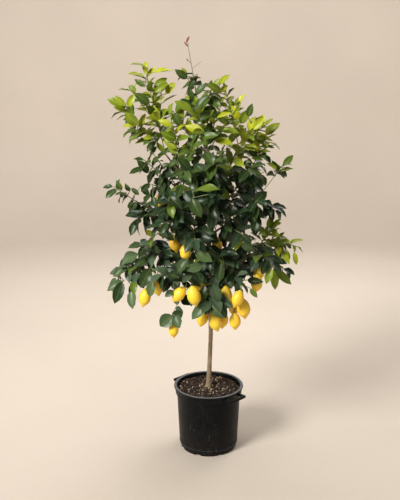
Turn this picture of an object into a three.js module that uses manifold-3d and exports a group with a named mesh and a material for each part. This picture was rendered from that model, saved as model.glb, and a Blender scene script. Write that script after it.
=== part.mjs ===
// A young lemon tree grown as a standard: one bare stem, a leafy head hung with ripe fruit, and a black
// nursery container with two grip handles. Millimetres, +Z up, origin at the centre of the container's
// underside, front towards -Y.
import * as THREE from "three";
import { mergeVertices } from "three/addons/utils/BufferGeometryUtils.js";
import Module from "manifold-3d";

const wasm = await Module();
wasm.setup();

// ---------- driving dimensions ----------
const GAP = 0.3; // clearance between pieces that touch on the real tree
const SMOOTHING = 0.03; // how far the finished surface may move to lose its slivers

const POT = {
  height: 308,
  rimRadius: 165,
  rimHeight: 9,
  rimInside: 4, // depth of the chamfer inside the mouth
  skirtRadius: 158, // the collar below the rim
  skirtHeight: 36,
  topRadius: 152,
  baseRadius: 138,
  footRadius: 133,
  footHeight: 20,
  footBevel: 4,
  kneeHeight: 28, // where the inside wall meets the cove of the floor
  wall: 3,
  floor: 4,
  sides: 32,
};
const DRAIN = { count: 8, width: 26, height: 9, depth: 24 };
const GRIP = {
  azimuths: [-45, 135], // degrees from +X, seen from above
  reach: 187, // from the container's axis to the middle of the bar
  length: 104,
  bar: 10,
  height: 13,
  post: 14,
  postDepth: 53, // from the middle of the bar to inside the wall
  top: 294,
};
const SOIL = { top: 293, relief: 4.5, rings: 3, brim: 6, seed: 77, stemHole: 13.8, holeSides: 12 };

// The stem, from its foot in the soil to where the leader starts: x, y, z, radius.
const STEM = [
  [0, 0, 188, 11],
  [0, 0, 302, 13],
  [4, 0, 400, 10.5],
  [10, 0, 560, 10],
  [6, 2, 700, 9.5],
  [-8, 5, 868, 8.5],
  [6, 6, 1040, 7.5],
  [2, 8, 1220, 6.5],
  [-18, 6, 1400, 5],
  [-32, 2, 1516, 4],
];

const STEM_SIDES = 8;
const CROWN_FOOT = 600; // no leaf hangs lower than this

const BRANCH_STEPS = 2; // straight stretches in every limb and shoot
const LIMB_RADII = [6.5, 4];
const LIMB_SIDES = 4;
const SHOOT_RADII = [3.2, 2.1];
const SHOOT_SIDES = 3;

// Limbs: the height at which each leaves the stem, its end, and how far it bows up at mid length.
const LIMBS = {
  lower_left: { from: 800, to: [-215, -60, 965], bow: 10 },
  lower_front_left: { from: 730, to: [-100, -140, 860], bow: 30 },
  lower_front: { from: 690, to: [5, -160, 800], bow: 40 },
  lower_front_right: { from: 830, to: [75, -150, 955], bow: 0 },
  lower_right: { from: 820, to: [205, -60, 960], bow: 20 },
  right: { from: 890, to: [225, 10, 985], bow: 20 },
  lower_back_left: { from: 770, to: [-140, 150, 900], bow: 30 },
  lower_back: { from: 720, to: [20, 170, 860], bow: 30 },
  lower_back_right: { from: 790, to: [160, 130, 930], bow: 30 },
  mid_left: { from: 960, to: [-220, -20, 1130], bow: -20 },
  mid_front_left: { from: 980, to: [-110, -150, 1130], bow: -10 },
  mid_front: { from: 1010, to: [30, -170, 1150], bow: -10 },
  mid_right: { from: 1030, to: [200, -20, 1190], bow: -20 },
  mid_back_left: { from: 1000, to: [-120, 150, 1160], bow: -20 },
  mid_back_right: { from: 1050, to: [120, 140, 1190], bow: -20 },
  high_left: { from: 1100, to: [-165, -30, 1270], bow: -20 },
  high_front: { from: 1120, to: [0, -130, 1280], bow: -20 },
  high_right: { from: 1110, to: [150, -40, 1290], bow: -20 },
  high_back: { from: 1130, to: [0, 130, 1290], bow: -20 },
  upper_left: { from: 1180, to: [-195, -10, 1400], bow: -40 },
  upper_right: { from: 1200, to: [130, -10, 1430], bow: -40 },
  upper_front: { from: 1230, to: [0, -120, 1400], bow: -30 },
  upper_back: { from: 1260, to: [-10, 120, 1430], bow: -30 },
};

// Leafy shoots. `on` is a limb or an earlier shoot, and `at` how far along it. A shoot on a limb is a
// spray of its own; a shoot on a shoot is a fork of that spray. `bare` is the share with no leaves.
const SHOOTS = {
  lower_left_a: { on: "lower_left", at: 1, to: [-415, -100, 860], bow: 60, leaves: 9, leaf: 106 },
  lower_left_b: { on: "lower_left_a", at: 0.3, to: [-335, -160, 850], bow: 30, leaves: 6, leaf: 104 },
  lower_left_c: { on: "lower_left", at: 0.6, to: [-290, 90, 960], bow: 30, leaves: 5, leaf: 95 },
  lower_left_d: { on: "lower_left", at: 0.8, to: [-300, -130, 1010], bow: 10, leaves: 7, leaf: 92 },
  lower_front_left_a: {
    on: "lower_front_left", at: 1, to: [-205, -200, 900], bow: 10,
    leaves: 6, leaf: 92,
  },
  lower_front_left_b: {
    on: "lower_front_left", at: 0.7, to: [-158, -182, 722], bow: 55,
    leaves: 5, leaf: 60, bare: 0.5, age: "round",
  },
  lower_front_left_c: {
    on: "lower_front_left_a", at: 0.1, to: [-60, -235, 915], bow: 10,
    leaves: 5, leaf: 92,
  },
  lower_front_a: { on: "lower_front", at: 1, to: [0, -215, 775], bow: 20, leaves: 8, leaf: 108, bare: 0 },
  lower_front_b: { on: "lower_front_a", at: 0.02, to: [70, -120, 765], bow: 20, leaves: 4, leaf: 95 },
  lower_front_right_a: {
    on: "lower_front_right", at: 1, to: [130, -256, 868], bow: 15,
    leaves: 6, leaf: 88,
  },
  lower_front_right_b: {
    on: "lower_front_right_a", at: 0.03, to: [20, -235, 985], bow: 15,
    leaves: 6, leaf: 95,
  },
  lower_front_right_c: {
    on: "lower_front_right_a", at: 0.55, to: [112, -190, 800],
    leaves: 2, leaf: 80, stop: 0.6,
  },
  lower_right_a: { on: "lower_right", at: 1, to: [262, -172, 950], bow: 15, leaves: 6, leaf: 92 },
  lower_right_b: { on: "lower_right", at: 0.6, to: [230, 80, 890], bow: 30, leaves: 5, leaf: 95 },
  right_a: { on: "right", at: 1, to: [395, -25, 985], bow: 45, leaves: 9, leaf: 72, age: "young" },
  right_b: { on: "right", at: 0.85, to: [345, -55, 882], bow: 35, leaves: 7, leaf: 86 },
  right_c: { on: "right_a", at: 0.06, to: [285, -60, 1085], bow: -10, leaves: 6, leaf: 76, age: "young" },
  lower_back_left_a: { on: "lower_back_left", at: 1, to: [-250, 230, 900], bow: 30, leaves: 6, leaf: 95 },
  lower_back_left_b: {
    on: "lower_back_left_a", at: 0.08, to: [-80, 270, 890], bow: 30,
    leaves: 4, leaf: 95,
  },
  lower_back_a: { on: "lower_back", at: 1, to: [60, 280, 840], bow: 40, leaves: 6, leaf: 95 },
  lower_back_right_a: { on: "lower_back_right", at: 1, to: [260, 220, 920], bow: 30, leaves: 6, leaf: 95 },
  lower_back_right_b: {
    on: "lower_back_right_a", at: 0.06, to: [140, 280, 990], bow: 10,
    leaves: 4, leaf: 92,
  },
  mid_left_a: { on: "mid_left", at: 1, to: [-425, -45, 1258], bow: -10, leaves: 8, leaf: 74, bare: 0.15 },
  mid_left_b: { on: "mid_left_a", at: 0.03, to: [-315, -110, 1120], bow: 25, leaves: 6, leaf: 98 },
  mid_left_c: { on: "mid_left", at: 0.5, to: [-250, 120, 1150], bow: 10, leaves: 4, leaf: 95 },
  mid_front_left_a: { on: "mid_front_left", at: 1, to: [-170, -265, 1225], bow: 10, leaves: 7, leaf: 96 },
  mid_front_left_b: { on: "mid_front_left", at: 0.7, to: [-60, -270, 1065], bow: 20, leaves: 6, leaf: 96 },
  mid_front_left_c: {
    on: "mid_front_left_a", at: 0.05, to: [-215, -210, 1110], bow: 20,
    leaves: 5, leaf: 92,
  },
  mid_front_a: { on: "mid_front", at: 1, to: [5, -280, 1255], bow: 5, leaves: 6, leaf: 96 },
  mid_front_b: { on: "mid_front", at: 0.7, to: [140, -240, 1080], bow: 20, leaves: 6, leaf: 96 },
  mid_right_a: { on: "mid_right", at: 1, to: [318, -30, 1345], bow: -15, leaves: 5, leaf: 66, bare: 0.74 },
  mid_right_b: { on: "mid_right_a", at: 0.04, to: [295, -60, 1150], bow: 25, leaves: 6, leaf: 86 },
  mid_right_c: { on: "mid_right", at: 0.7, to: [205, -175, 1215], leaves: 6, leaf: 94 },
  mid_back_left_a: { on: "mid_back_left", at: 1, to: [-220, 265, 1230], leaves: 5, leaf: 95 },
  mid_back_right_a: { on: "mid_back_right", at: 1, to: [220, 260, 1240], leaves: 6, leaf: 95 },
  mid_back_right_b: { on: "mid_back_right", at: 0.6, to: [20, 280, 1120], bow: 20, leaves: 4, leaf: 95 },
  high_left_a: { on: "high_left", at: 1, to: [-285, -50, 1375], leaves: 6, leaf: 86 },
  high_left_b: { on: "high_left_a", at: 0.05, to: [-228, -66, 1262], bow: 10, leaves: 4, leaf: 90 },
  high_front_a: { on: "high_front", at: 1, to: [20, -245, 1390], leaves: 6, leaf: 94 },
  high_front_b: { on: "high_front_a", at: 0.05, to: [-110, -225, 1345], bow: 10, leaves: 6, leaf: 94 },
  high_right_a: { on: "high_right", at: 1, to: [232, -50, 1420], leaves: 6, leaf: 86 },
  high_right_b: { on: "high_right_a", at: 0.05, to: [165, -180, 1350], bow: 10, leaves: 6, leaf: 92 },
  high_back_a: { on: "high_back", at: 1, to: [70, 250, 1400], leaves: 5, leaf: 95 },
  high_back_b: { on: "high_back_a", at: 0.05, to: [-130, 225, 1380], bow: 10, leaves: 4, leaf: 92 },
  upper_left_a: { on: "upper_left", at: 1, to: [-272, -10, 1738], leaves: 12, leaf: 84, age: "young" },
  upper_left_b: {
    on: "upper_left_a", at: 0.07, to: [-385, -30, 1600], bow: -10,
    leaves: 9, leaf: 84, age: "young",
  },
  upper_left_c: {
    on: "upper_left", at: 0.6, to: [-165, -130, 1560], bow: -10,
    leaves: 6, leaf: 88, age: "young",
  },
  upper_right_a: { on: "upper_right", at: 1, to: [70, -5, 1672], leaves: 9, leaf: 70, age: "young" },
  upper_right_b: {
    on: "upper_right_a", at: 0.05, to: [245, -25, 1525], bow: -10,
    leaves: 7, leaf: 80, age: "young",
  },
  upper_right_c: {
    on: "upper_right", at: 0.6, to: [180, -140, 1520], bow: -10,
    leaves: 6, leaf: 86, age: "young",
  },
  upper_front_a: { on: "upper_front", at: 1, to: [-50, -190, 1600], leaves: 7, leaf: 86, age: "young" },
  upper_front_b: {
    on: "upper_front_a", at: 0.08, to: [85, -175, 1570], bow: 10,
    leaves: 6, leaf: 86, age: "young",
  },
  upper_back_a: { on: "upper_back", at: 1, to: [60, 170, 1620], leaves: 5, leaf: 84, age: "young" },
  upper_back_b: { on: "upper_back_a", at: 0.05, to: [-150, 180, 1520], leaves: 4, leaf: 86, age: "young" },
  leader: { on: "stem", at: 1, to: [-98, 0, 1893], leaves: 11, leaf: 82, stop: 0.6, bare: 0.04 },
  leader_twig: { on: "leader", at: 0.66, to: [-34, -8, 1796], leaves: 1, leaf: 34, age: "young" },
  leader_bud_a: { on: "leader", at: 0.97, to: [-86, -3, 1900], leaves: 0 },
  leader_bud_b: { on: "leader", at: 0.9, to: [-110, -4, 1877], leaves: 0 },
  leader_bud_c: { on: "leader", at: 0.72, to: [-101, -6, 1806], leaves: 0 },
  leader_b: { on: "leader", at: 0.12, to: [15, -50, 1690], leaves: 6, leaf: 80 },
};
const SHOOT_DEFAULTS = { bow: 0, bare: 0.12, stop: 1, age: "mature" };

// Lemons: the shoot that carries each one, how far along it, the fruit's middle, its lean in degrees
// sideways (+ towards +X at the tip) and its length.
const LEMONS = {
  lemon_01: { on: "lower_left_b", at: 0.55, middle: [-283, -170, 785], lean: -12, length: 88 },
  lemon_02: { on: "lower_left_b", at: 0.2, middle: [-228, -152, 828], lean: 8, length: 84 },
  lemon_03: { on: "lower_front_left_a", at: 0.2, middle: [-132, -212, 811], lean: -38, length: 86 },
  lemon_04: { on: "lower_front_left_c", at: 0.5, middle: [-66, -232, 810], lean: 12, length: 96 },
  lemon_05: { on: "lower_front_left_a", at: 0.05, middle: [-42, -165, 838], lean: 20, length: 74 },
  lemon_06: { on: "mid_front_left_c", at: 0.2, middle: [-152, -90, 1008], lean: 12, length: 80 },
  lemon_07: { on: "mid_front_left_b", at: 0.1, middle: [-104, -150, 983], lean: 6, length: 80 },
  lemon_08: { on: "high_left_b", at: 1, middle: [-218, -62, 1192], lean: 5, length: 70 },
  lemon_09: { on: "mid_front_b", at: 0.1, middle: [34, -90, 1006], lean: 10, length: 78 },
  lemon_10: { on: "lower_right_a", at: 0.35, middle: [219, -128, 893], lean: 5, length: 84 },
  lemon_11: { on: "lower_right_a", at: 0.6, middle: [206, -170, 850], lean: -5, length: 84 },
  lemon_12: { on: "lower_front_right_b", at: 0.1, middle: [71, -165, 792], lean: 4, length: 98 },
  lemon_13: { on: "lower_front_right_a", at: 1, middle: [118, -262, 806], lean: -20, length: 82 },
  lemon_14: { on: "lower_front_right_a", at: 0.8, middle: [147, -213, 748], lean: 8, length: 96 },
  lemon_15: { on: "lower_front_right_c", at: 0.9, middle: [108, -160, 738], lean: 0, length: 80 },
  lemon_16: { on: "lower_front_right_c", at: 1, middle: [112, -195, 685], lean: 2, length: 82 },
  lemon_17: { on: "lower_front_a", at: 0.2, middle: [-30, -155, 686], lean: -16, length: 84 },
  lemon_18: { on: "lower_front_a", at: 0.4, middle: [26, -172, 674], lean: 16, length: 92 },
  lemon_19: { on: "lower_front_b", at: 0.6, middle: [62, -115, 664], lean: -6, length: 82 },
  lemon_20: { on: "lower_front_left_b", at: 1, middle: [-157, -182, 640], lean: 0, length: 74 },
};
const LEMON_SLENDERNESS = 0.6; // diameter over length
const LEMON_SIDES = 7;
const STALK = { radii: [1.7, 1.7, 2, 3], seat: 4, reach: 30 };
// Lemon outline from stem end to nipple: distance from the axis over the radius, height over the length.
const LEMON_PROFILE = [
  [0, 0.5],
  [0.4, 0.42],
  [0.92, 0.16],
  [0.98, -0.08],
  [0.62, -0.33],
  [0.25, -0.43],
  [0, -0.5],
];

const LEAF = {
  petiole: 0.05, // share of the leaf's length
  petioleHalfWidth: 1.3,
  thickness: 1.4, // at the midrib, thinning to its edges
  stations: [0.34, 0.68],
  sunk: 1, // how far the petiole starts behind the shoot's middle
  tipSunk: 3, // the same for the leaf that ends a shoot
};
// Pitch from the shoot in degrees, sag towards the ground, curl of the blade along its midrib, fold of
// its two halves, half width over length, and how much the upper side looks up and out from the stem.
const AGES = {
  mature: { pitch: 62, sag: 0.45, curl: 0.75, fold: 0.28, halfWidth: 0.25, up: 0.5, out: 0.35 },
  round: { pitch: 80, sag: 0.3, curl: 0.4, fold: 0.1, halfWidth: 0.42, up: 0.2, out: 0.5 },
  young: { pitch: 50, sag: 0.06, curl: 0.6, fold: 0.34, halfWidth: 0.225, up: 0.6, out: 0.3 },
};
const LIGHT = [-0.25, -0.5, 0.4]; // where the light comes from, which the leaves turn to
const GROWTH = {
  seed: 4127,
  goldenAngle: 2.39996,
  tries: 16, // each one may stray further than the last
  strayAzimuth: [0.5, 2.4], // spread in radians at the first try, and how much the tries add
  strayPitch: [0.35, 1],
  tipPitch: 8, // degrees, for the leaf that ends a shoot
  tipStray: 0.2,
  roll: 1.2,
  lengths: [0.8, 1.15], // shortest and longest over the shoot's own
  curls: [0.35, 1.55],
  leafBall: 5.2, // half the room that one blade keeps from the next
  stemRoom: 4,
  ballStep: 6,
  sampleStations: [0.3, 0.4, 0.5, 0.6, 0.7, 0.8, 0.9, 1],
  sampleAcross: [-1, -0.5, 0, 0.5, 1],
  lemonBalls: [[-0.42, 0.45], [-0.2, 0.85], [0.02, 1.05], [0.22, 0.9], [0.4, 0.5]],
};

// ---------- drawing numbers and points ----------
const MODULUS = 2147483647;
const MULTIPLIER = 16807;
function seeded(seed) {
  let state = seed;
  return () => {
    state = (state * MULTIPLIER) % MODULUS;
    return state / MODULUS;
  };
}

const between = ([low, high], share) => low + (high - low) * share;

const vec = (x, y, z) => new THREE.Vector3(x, y, z);
const UP = vec(0, 0, 1);

// Where along a shoot or limb: a quadratic curve through start, a middle raised by bow, and end.
function curveOf(start, end, bow) {
  const middle = start.clone().lerp(end, 0.5).addScaledVector(UP, bow);
  return new THREE.QuadraticBezierCurve3(start, middle, end);
}

// The direction of such a curve at share t.
function directionOf(curve, t) {
  const [first, second] = [curve.v1.clone().sub(curve.v0), curve.v2.clone().sub(curve.v1)];
  return first.lerp(second, t).normalize();
}

// The middle of the stem at a height, and its radius there.
function stemAt(height) {
  let i = 1;
  while (i < STEM.length - 1 && STEM[i][2] < height) i += 1;
  const [a, b] = [STEM[i - 1], STEM[i]];
  const share = (height - a[2]) / (b[2] - a[2]);
  return [vec(a[0], a[1], a[2]).lerp(vec(b[0], b[1], b[2]), share), between([a[3], b[3]], share)];
}

// Two directions square to `axis`, the first as level as can be.
function across(axis) {
  const upright = Math.abs(axis.z) > 0.95;
  const side = upright ? vec(1, 0, 0).cross(axis) : UP.clone().cross(axis);
  side.normalize();
  return [side, axis.clone().cross(side).normalize()];
}

// ---------- turning rings of points into solids ----------
function closedSolid(points, faces) {
  return new wasm.Manifold(
    new wasm.Mesh({
      numProp: 3,
      vertProperties: new Float32Array(points.flatMap((p) => [p.x, p.y, p.z])),
      triVerts: new Uint32Array(faces.flat()),
    }),
  );
}

// Joins closed rings of equal size into one skin, with a flat cap at each end or a point at the far one.
function skin(rings, tip) {
  const n = rings[0].length;
  const points = rings.flat();
  const faces = [];
  for (let r = 0; r + 1 < rings.length; r += 1)
    for (let i = 0; i < n; i += 1) {
      const [a, b] = [r * n + i, r * n + ((i + 1) % n)];
      faces.push([a, b, b + n], [a, b + n, a + n]);
    }
  for (let i = 1; i + 1 < n; i += 1) faces.push([0, i + 1, i]);
  const last = (rings.length - 1) * n;
  if (tip) {
    points.push(tip);
    for (let i = 0; i < n; i += 1) faces.push([last + i, last + ((i + 1) % n), points.length - 1]);
  } else for (let i = 1; i + 1 < n; i += 1) faces.push([last, last + i, last + i + 1]);
  return closedSolid(points, faces);
}

function solidOf(geometry) {
  const places = geometry.toNonIndexed().getAttribute("position");
  const merged = mergeVertices(new THREE.BufferGeometry().setAttribute("position", places), 1e-3);
  return new wasm.Manifold(
    new wasm.Mesh({
      numProp: 3,
      vertProperties: merged.attributes.position.array,
      triVerts: new Uint32Array(merged.index.array),
    }),
  );
}

// The finished surface, without its slivers.
function geometryOf(solid) {
  const mesh = solid.simplify(SMOOTHING).getMesh();
  return new THREE.BufferGeometry()
    .setAttribute("position", new THREE.BufferAttribute(mesh.vertProperties, 3))
    .setIndex(new THREE.BufferAttribute(mesh.triVerts, 1));
}

const fuse = (solids) => wasm.Manifold.union(solids);

// A round bar through stations of [point, radius], with `sides` sides and capped ends.
function bar(stations, sides) {
  let side = null;
  const rings = stations.map(([point, radius], i) => {
    const ahead = stations[Math.min(i + 1, stations.length - 1)][0];
    const behind = stations[Math.max(i - 1, 0)][0];
    const axis = ahead.clone().sub(behind).normalize();
    if (!side) side = across(axis)[0];
    side = side.addScaledVector(axis, -side.dot(axis)).normalize();
    const other = axis.clone().cross(side);
    return Array.from({ length: sides }, (_, k) => {
      const turn = (2 * Math.PI * k) / sides;
      return point
        .clone()
        .addScaledVector(side, radius * Math.cos(turn))
        .addScaledVector(other, radius * Math.sin(turn));
    });
  });
  return skin(rings);
}

// A limb or shoot: a tapered bar in BRANCH_STEPS straight stretches along its curve.
function branchSolid(curve, radii, sides, swell = 0) {
  const stations = Array.from({ length: BRANCH_STEPS + 1 }, (_, i) => [
    curve.getPoint(i / BRANCH_STEPS),
    between(radii, i / BRANCH_STEPS) + swell,
  ]);
  return bar(stations, sides);
}

// The middle of that bar at share t, on the straight stretch between two stations.
function branchPoint(curve, t) {
  const i = Math.min(Math.floor(t * BRANCH_STEPS), BRANCH_STEPS - 1);
  const [from, to] = [curve.getPoint(i / BRANCH_STEPS), curve.getPoint((i + 1) / BRANCH_STEPS)];
  return from.lerp(to, t * BRANCH_STEPS - i);
}

// ---------- leaves ----------
// Half the blade's width at share t of the leaf's length: a thin stalk, then an oval, fuller towards it.
function halfWidth(leaf, t) {
  if (t <= LEAF.petiole) return LEAF.petioleHalfWidth;
  const u = (t - LEAF.petiole) / (1 - LEAF.petiole);
  const oval = (4 * u * (1 - u)) ** 0.75 * (1.15 - 0.35 * u);
  return LEAF.petioleHalfWidth * (1 - u) + leaf.length * leaf.halfWidth * oval;
}

// A point of the blade: t along the midrib, which curls down, and share -1 to 1 across its folded halves.
function bladePoint(leaf, t, share, lift = 0) {
  const angle = leaf.curl * t;
  const reach = (leaf.length * Math.sin(angle)) / leaf.curl;
  const drop = (leaf.length * (1 - Math.cos(angle))) / leaf.curl;
  const width = halfWidth(leaf, t) * share;
  const rise = Math.abs(width) * Math.sin(leaf.fold) + lift;
  return leaf.root
    .clone()
    .addScaledVector(leaf.ahead, reach + rise * Math.sin(angle))
    .addScaledVector(leaf.face, -drop + rise * Math.cos(angle))
    .addScaledVector(leaf.side, width * Math.cos(leaf.fold));
}

// The blade as a closed, folded, arched solid. A three-cornered stalk widens into rings that run from the
// underside of the midrib to one edge, the top of the midrib and the other edge, and close at the tip.
const STALK_TO_BLADE = [[1, 2, 5], [1, 5, 4], [2, 6, 5], [2, 3, 6], [3, 7, 6], [3, 1, 4], [3, 4, 7]];
function bladeSolid(leaf) {
  const half = LEAF.thickness / 2;
  const stalk = [0, 1, 2].map((corner) => {
    const turn = (2 * Math.PI * corner) / 3;
    return bladePoint(leaf, LEAF.petiole, Math.sin(turn), -LEAF.petioleHalfWidth * Math.cos(turn));
  });
  const rings = LEAF.stations.map((t) => [
    bladePoint(leaf, t, 0, -half),
    bladePoint(leaf, t, 1),
    bladePoint(leaf, t, 0, half),
    bladePoint(leaf, t, -1),
  ]);
  const root = leaf.root.clone().addScaledVector(leaf.ahead, -leaf.sunk);
  const points = [root, ...stalk, ...rings.flat(), bladePoint(leaf, 1, 0)];
  const faces = [[2, 1, 0], [3, 2, 0], [1, 3, 0], ...STALK_TO_BLADE];
  for (let i = 0; i < 4; i += 1) {
    const [a, b] = [4 + i, 4 + ((i + 1) % 4)];
    faces.push([a, b, b + 4], [a, b + 4, a + 4], [a + 4, b + 4, 12]);
  }
  return closedSolid(points, faces);
}

// How far a leaf leans from its shoot: less towards the end, and hardly at all for the one that ends it.
function pitchOf(age, t, loosen, draw) {
  const [spread, added] = GROWTH.strayPitch;
  const stray = draw() - 0.5;
  if (t > 0.99) return THREE.MathUtils.degToRad(GROWTH.tipPitch) + stray * GROWTH.tipStray;
  const pitch = THREE.MathUtils.degToRad(age.pitch * (1 - 0.25 * t ** 3));
  return pitch + stray * (spread + added * loosen);
}

// A leaf at share t of a shoot. Its upper side looks to the light, up and out from the stem, as far as
// its own direction allows. `loosen`, from 0 to 1, is how far it may stray to find room.
function leafAt(shoot, t, turn, loosen, draw) {
  const age = AGES[shoot.age];
  const axis = directionOf(shoot.curve, t);
  const [side, other] = across(axis);
  const [spread, added] = GROWTH.strayAzimuth;
  const azimuth = turn + (draw() - 0.5) * (spread + added * loosen);
  const pitch = pitchOf(age, t, loosen, draw);
  const length = shoot.leaf * between(GROWTH.lengths, draw()) * (1 - 0.25 * loosen) * (1 - 0.3 * t ** 4);
  const roll = (draw() - 0.5) * GROWTH.roll;
  const curl = age.curl * between(GROWTH.curls, draw());
  const root = branchPoint(shoot.curve, t);
  const ahead = axis
    .clone()
    .multiplyScalar(Math.cos(pitch))
    .addScaledVector(side, Math.sin(pitch) * Math.cos(azimuth))
    .addScaledVector(other, Math.sin(pitch) * Math.sin(azimuth))
    .addScaledVector(UP, -age.sag)
    .normalize();
  const outward = vec(root.x, root.y, 0).normalize();
  const wanted = vec(...LIGHT).addScaledVector(UP, age.up).addScaledVector(outward, age.out);
  const face = wanted.addScaledVector(ahead, -wanted.dot(ahead)).normalize().applyAxisAngle(ahead, roll);
  const sunk = t > 0.99 ? LEAF.tipSunk : LEAF.sunk;
  return { ...age, root, ahead, face, side: face.clone().cross(ahead), length, curl, sunk };
}

// ---------- room: every piece is also a cloud of balls, and a new leaf must stand clear of them ----------
const room = new Map();
const CELL = 40;
const cellKey = (x, y, z) => `${x},${y},${z}`;

function fillRoom(point, radius) {
  const key = cellKey(...point.toArray().map((c) => Math.floor(c / CELL)));
  if (!room.has(key)) room.set(key, []);
  room.get(key).push([point, radius]);
}

function fillAlong(curve, radius) {
  const steps = Math.ceil(curve.v0.distanceTo(curve.v2) / GROWTH.ballStep);
  for (let i = 0; i <= steps; i += 1) fillRoom(curve.getPoint(i / steps), radius + GROWTH.stemRoom);
}

function taken(point, radius) {
  const [cx, cy, cz] = point.toArray().map((c) => Math.floor(c / CELL));
  for (let x = cx - 1; x <= cx + 1; x += 1)
    for (let y = cy - 1; y <= cy + 1; y += 1)
      for (let z = cz - 1; z <= cz + 1; z += 1)
        for (const [other, otherRadius] of room.get(cellKey(x, y, z)) ?? [])
          if (other.distanceTo(point) < radius + otherRadius) return true;
  return false;
}

function leafSamples(leaf) {
  return GROWTH.sampleStations.flatMap((t) =>
    (t === 1 ? [0] : GROWTH.sampleAcross).map((share) => bladePoint(leaf, t, share)),
  );
}

// Leaves up a shoot, each a golden angle round from the last. One that finds no room is left out.
function growLeaves(shoot, draw) {
  const grown = [];
  for (let i = 0; i < shoot.leaves; i += 1) {
    const t = shoot.bare + ((shoot.stop - shoot.bare) * (i + 1)) / shoot.leaves;
    for (let attempt = 0; attempt < GROWTH.tries; attempt += 1) {
      const leaf = leafAt(shoot, t, i * GROWTH.goldenAngle, attempt / GROWTH.tries, draw);
      const samples = leafSamples(leaf);
      if (samples.some((p) => taken(p, GROWTH.leafBall))) continue;
      samples.forEach((p) => fillRoom(p, GROWTH.leafBall));
      grown.push(leaf);
      break;
    }
  }
  return grown;
}

// ---------- the woody frame ----------
const stemStations = STEM.map(([x, y, z, radius]) => [vec(x, y, z), radius]);
const [stemTop] = stemStations.at(-1);
const limbCurves = {};
for (const [name, limb] of Object.entries(LIMBS))
  limbCurves[name] = curveOf(stemAt(limb.from)[0], vec(...limb.to), limb.bow);

// The stem and limbs as one solid, `swell` thicker all over and longer at its limb ends.
function woodSolid(swell) {
  const stem = bar(stemStations.map(([point, radius]) => [point, radius + swell]), STEM_SIDES);
  const limbs = Object.values(limbCurves).map((curve) => {
    const end = curve.v2.clone().addScaledVector(directionOf(curve, 1), swell);
    const longer = new THREE.QuadraticBezierCurve3(curve.v0, curve.v1, end);
    return branchSolid(longer, LIMB_RADII, LIMB_SIDES, swell);
  });
  return fuse([stem, ...limbs]);
}

// ---------- lemons ----------
function lemonAxis(lemon) {
  const lean = THREE.MathUtils.degToRad(lemon.lean);
  return vec(-Math.sin(lean), 0, Math.cos(lean)); // from nipple to stalk
}

function lemonSolid(lemon) {
  const radius = (lemon.length * LEMON_SLENDERNESS) / 2;
  const outline = LEMON_PROFILE.map(([r, z]) => new THREE.Vector2(r * radius, z * lemon.length)).reverse();
  const fruit = new THREE.LatheGeometry(outline, LEMON_SIDES).rotateX(Math.PI / 2);
  fruit.applyQuaternion(new THREE.Quaternion().setFromUnitVectors(UP, lemonAxis(lemon)));
  return solidOf(fruit.translate(...lemon.middle));
}

function stalkCurve(lemon) {
  const axis = lemonAxis(lemon);
  const end = vec(...lemon.middle).addScaledVector(axis, lemon.length / 2 + GAP);
  const start = branchPoint(shoots[lemon.on].curve, lemon.at);
  const reach = Math.min(STALK.reach, 0.6 * start.distanceTo(end));
  return new THREE.QuadraticBezierCurve3(start, end.clone().addScaledVector(axis, reach), end);
}

// The stalk's last stretch is square to the fruit, so that its end lies flat over the fruit's tip.
function stalkSolid(curve) {
  const [start, end] = [curve.v0, curve.v2];
  const seat = end.clone().addScaledVector(directionOf(curve, 1), -STALK.seat);
  const stations = [start, curve.getPoint(0.5), seat, end].map((point, i) => [point, STALK.radii[i]]);
  return bar(stations, SHOOT_SIDES);
}

function fillLemon(lemon) {
  const radius = (lemon.length * LEMON_SLENDERNESS) / 2;
  for (const [along, share] of GROWTH.lemonBalls)
    fillRoom(vec(...lemon.middle).addScaledVector(lemonAxis(lemon), along * lemon.length), share * radius);
}

// ---------- shoots, in the order of the table ----------
const shoots = {};
for (const [name, row] of Object.entries(SHOOTS)) {
  const shoot = { ...SHOOT_DEFAULTS, ...row };
  const parent = shoot.on === "stem" ? null : (limbCurves[shoot.on] ?? shoots[shoot.on].curve);
  const start = parent ? branchPoint(parent, shoot.at) : stemTop.clone();
  shoot.curve = curveOf(start, vec(...shoot.to), shoot.bow);
  shoot.spray = shoots[shoot.on]?.spray ?? name;
  shoots[name] = shoot;
}
const stalks = {};
for (const [name, lemon] of Object.entries(LEMONS)) stalks[name] = stalkCurve(lemon);

for (let height = CROWN_FOOT; height < stemTop.z; height += GROWTH.ballStep) {
  const [point, radius] = stemAt(height);
  fillRoom(point, radius + GROWTH.stemRoom);
}
Object.values(limbCurves).forEach((curve) => fillAlong(curve, LIMB_RADII[0]));
Object.values(shoots).forEach((shoot) => fillAlong(shoot.curve, SHOOT_RADII[0]));
Object.values(stalks).forEach((curve) => fillAlong(curve, STALK.radii[2]));
Object.values(LEMONS).forEach(fillLemon);

const draw = seeded(GROWTH.seed);
for (const shoot of Object.values(shoots)) shoot.grown = growLeaves(shoot, draw);

// One spray: its shoots, their leaves and the stalks of its lemons, clear of the wood that carries it.
function spraySolid(spray, wood) {
  const members = Object.entries(shoots).filter(([, shoot]) => shoot.spray === spray);
  const solids = members.flatMap(([name, shoot]) => [
    branchSolid(shoot.curve, SHOOT_RADII, SHOOT_SIDES),
    ...shoot.grown.map(bladeSolid),
    ...Object.entries(LEMONS)
      .filter(([, lemon]) => lemon.on === name)
      .map(([lemon]) => stalkSolid(stalks[lemon])),
  ]);
  return fuse(solids).subtract(wood).decompose().sort((a, b) => b.volume() - a.volume())[0];
}

// ---------- container and soil ----------
function turned(outline) {
  const points = outline.map(([radius, z]) => new THREE.Vector2(radius, z));
  return solidOf(new THREE.LatheGeometry([...points, points[0]], POT.sides).rotateX(Math.PI / 2));
}

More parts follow.
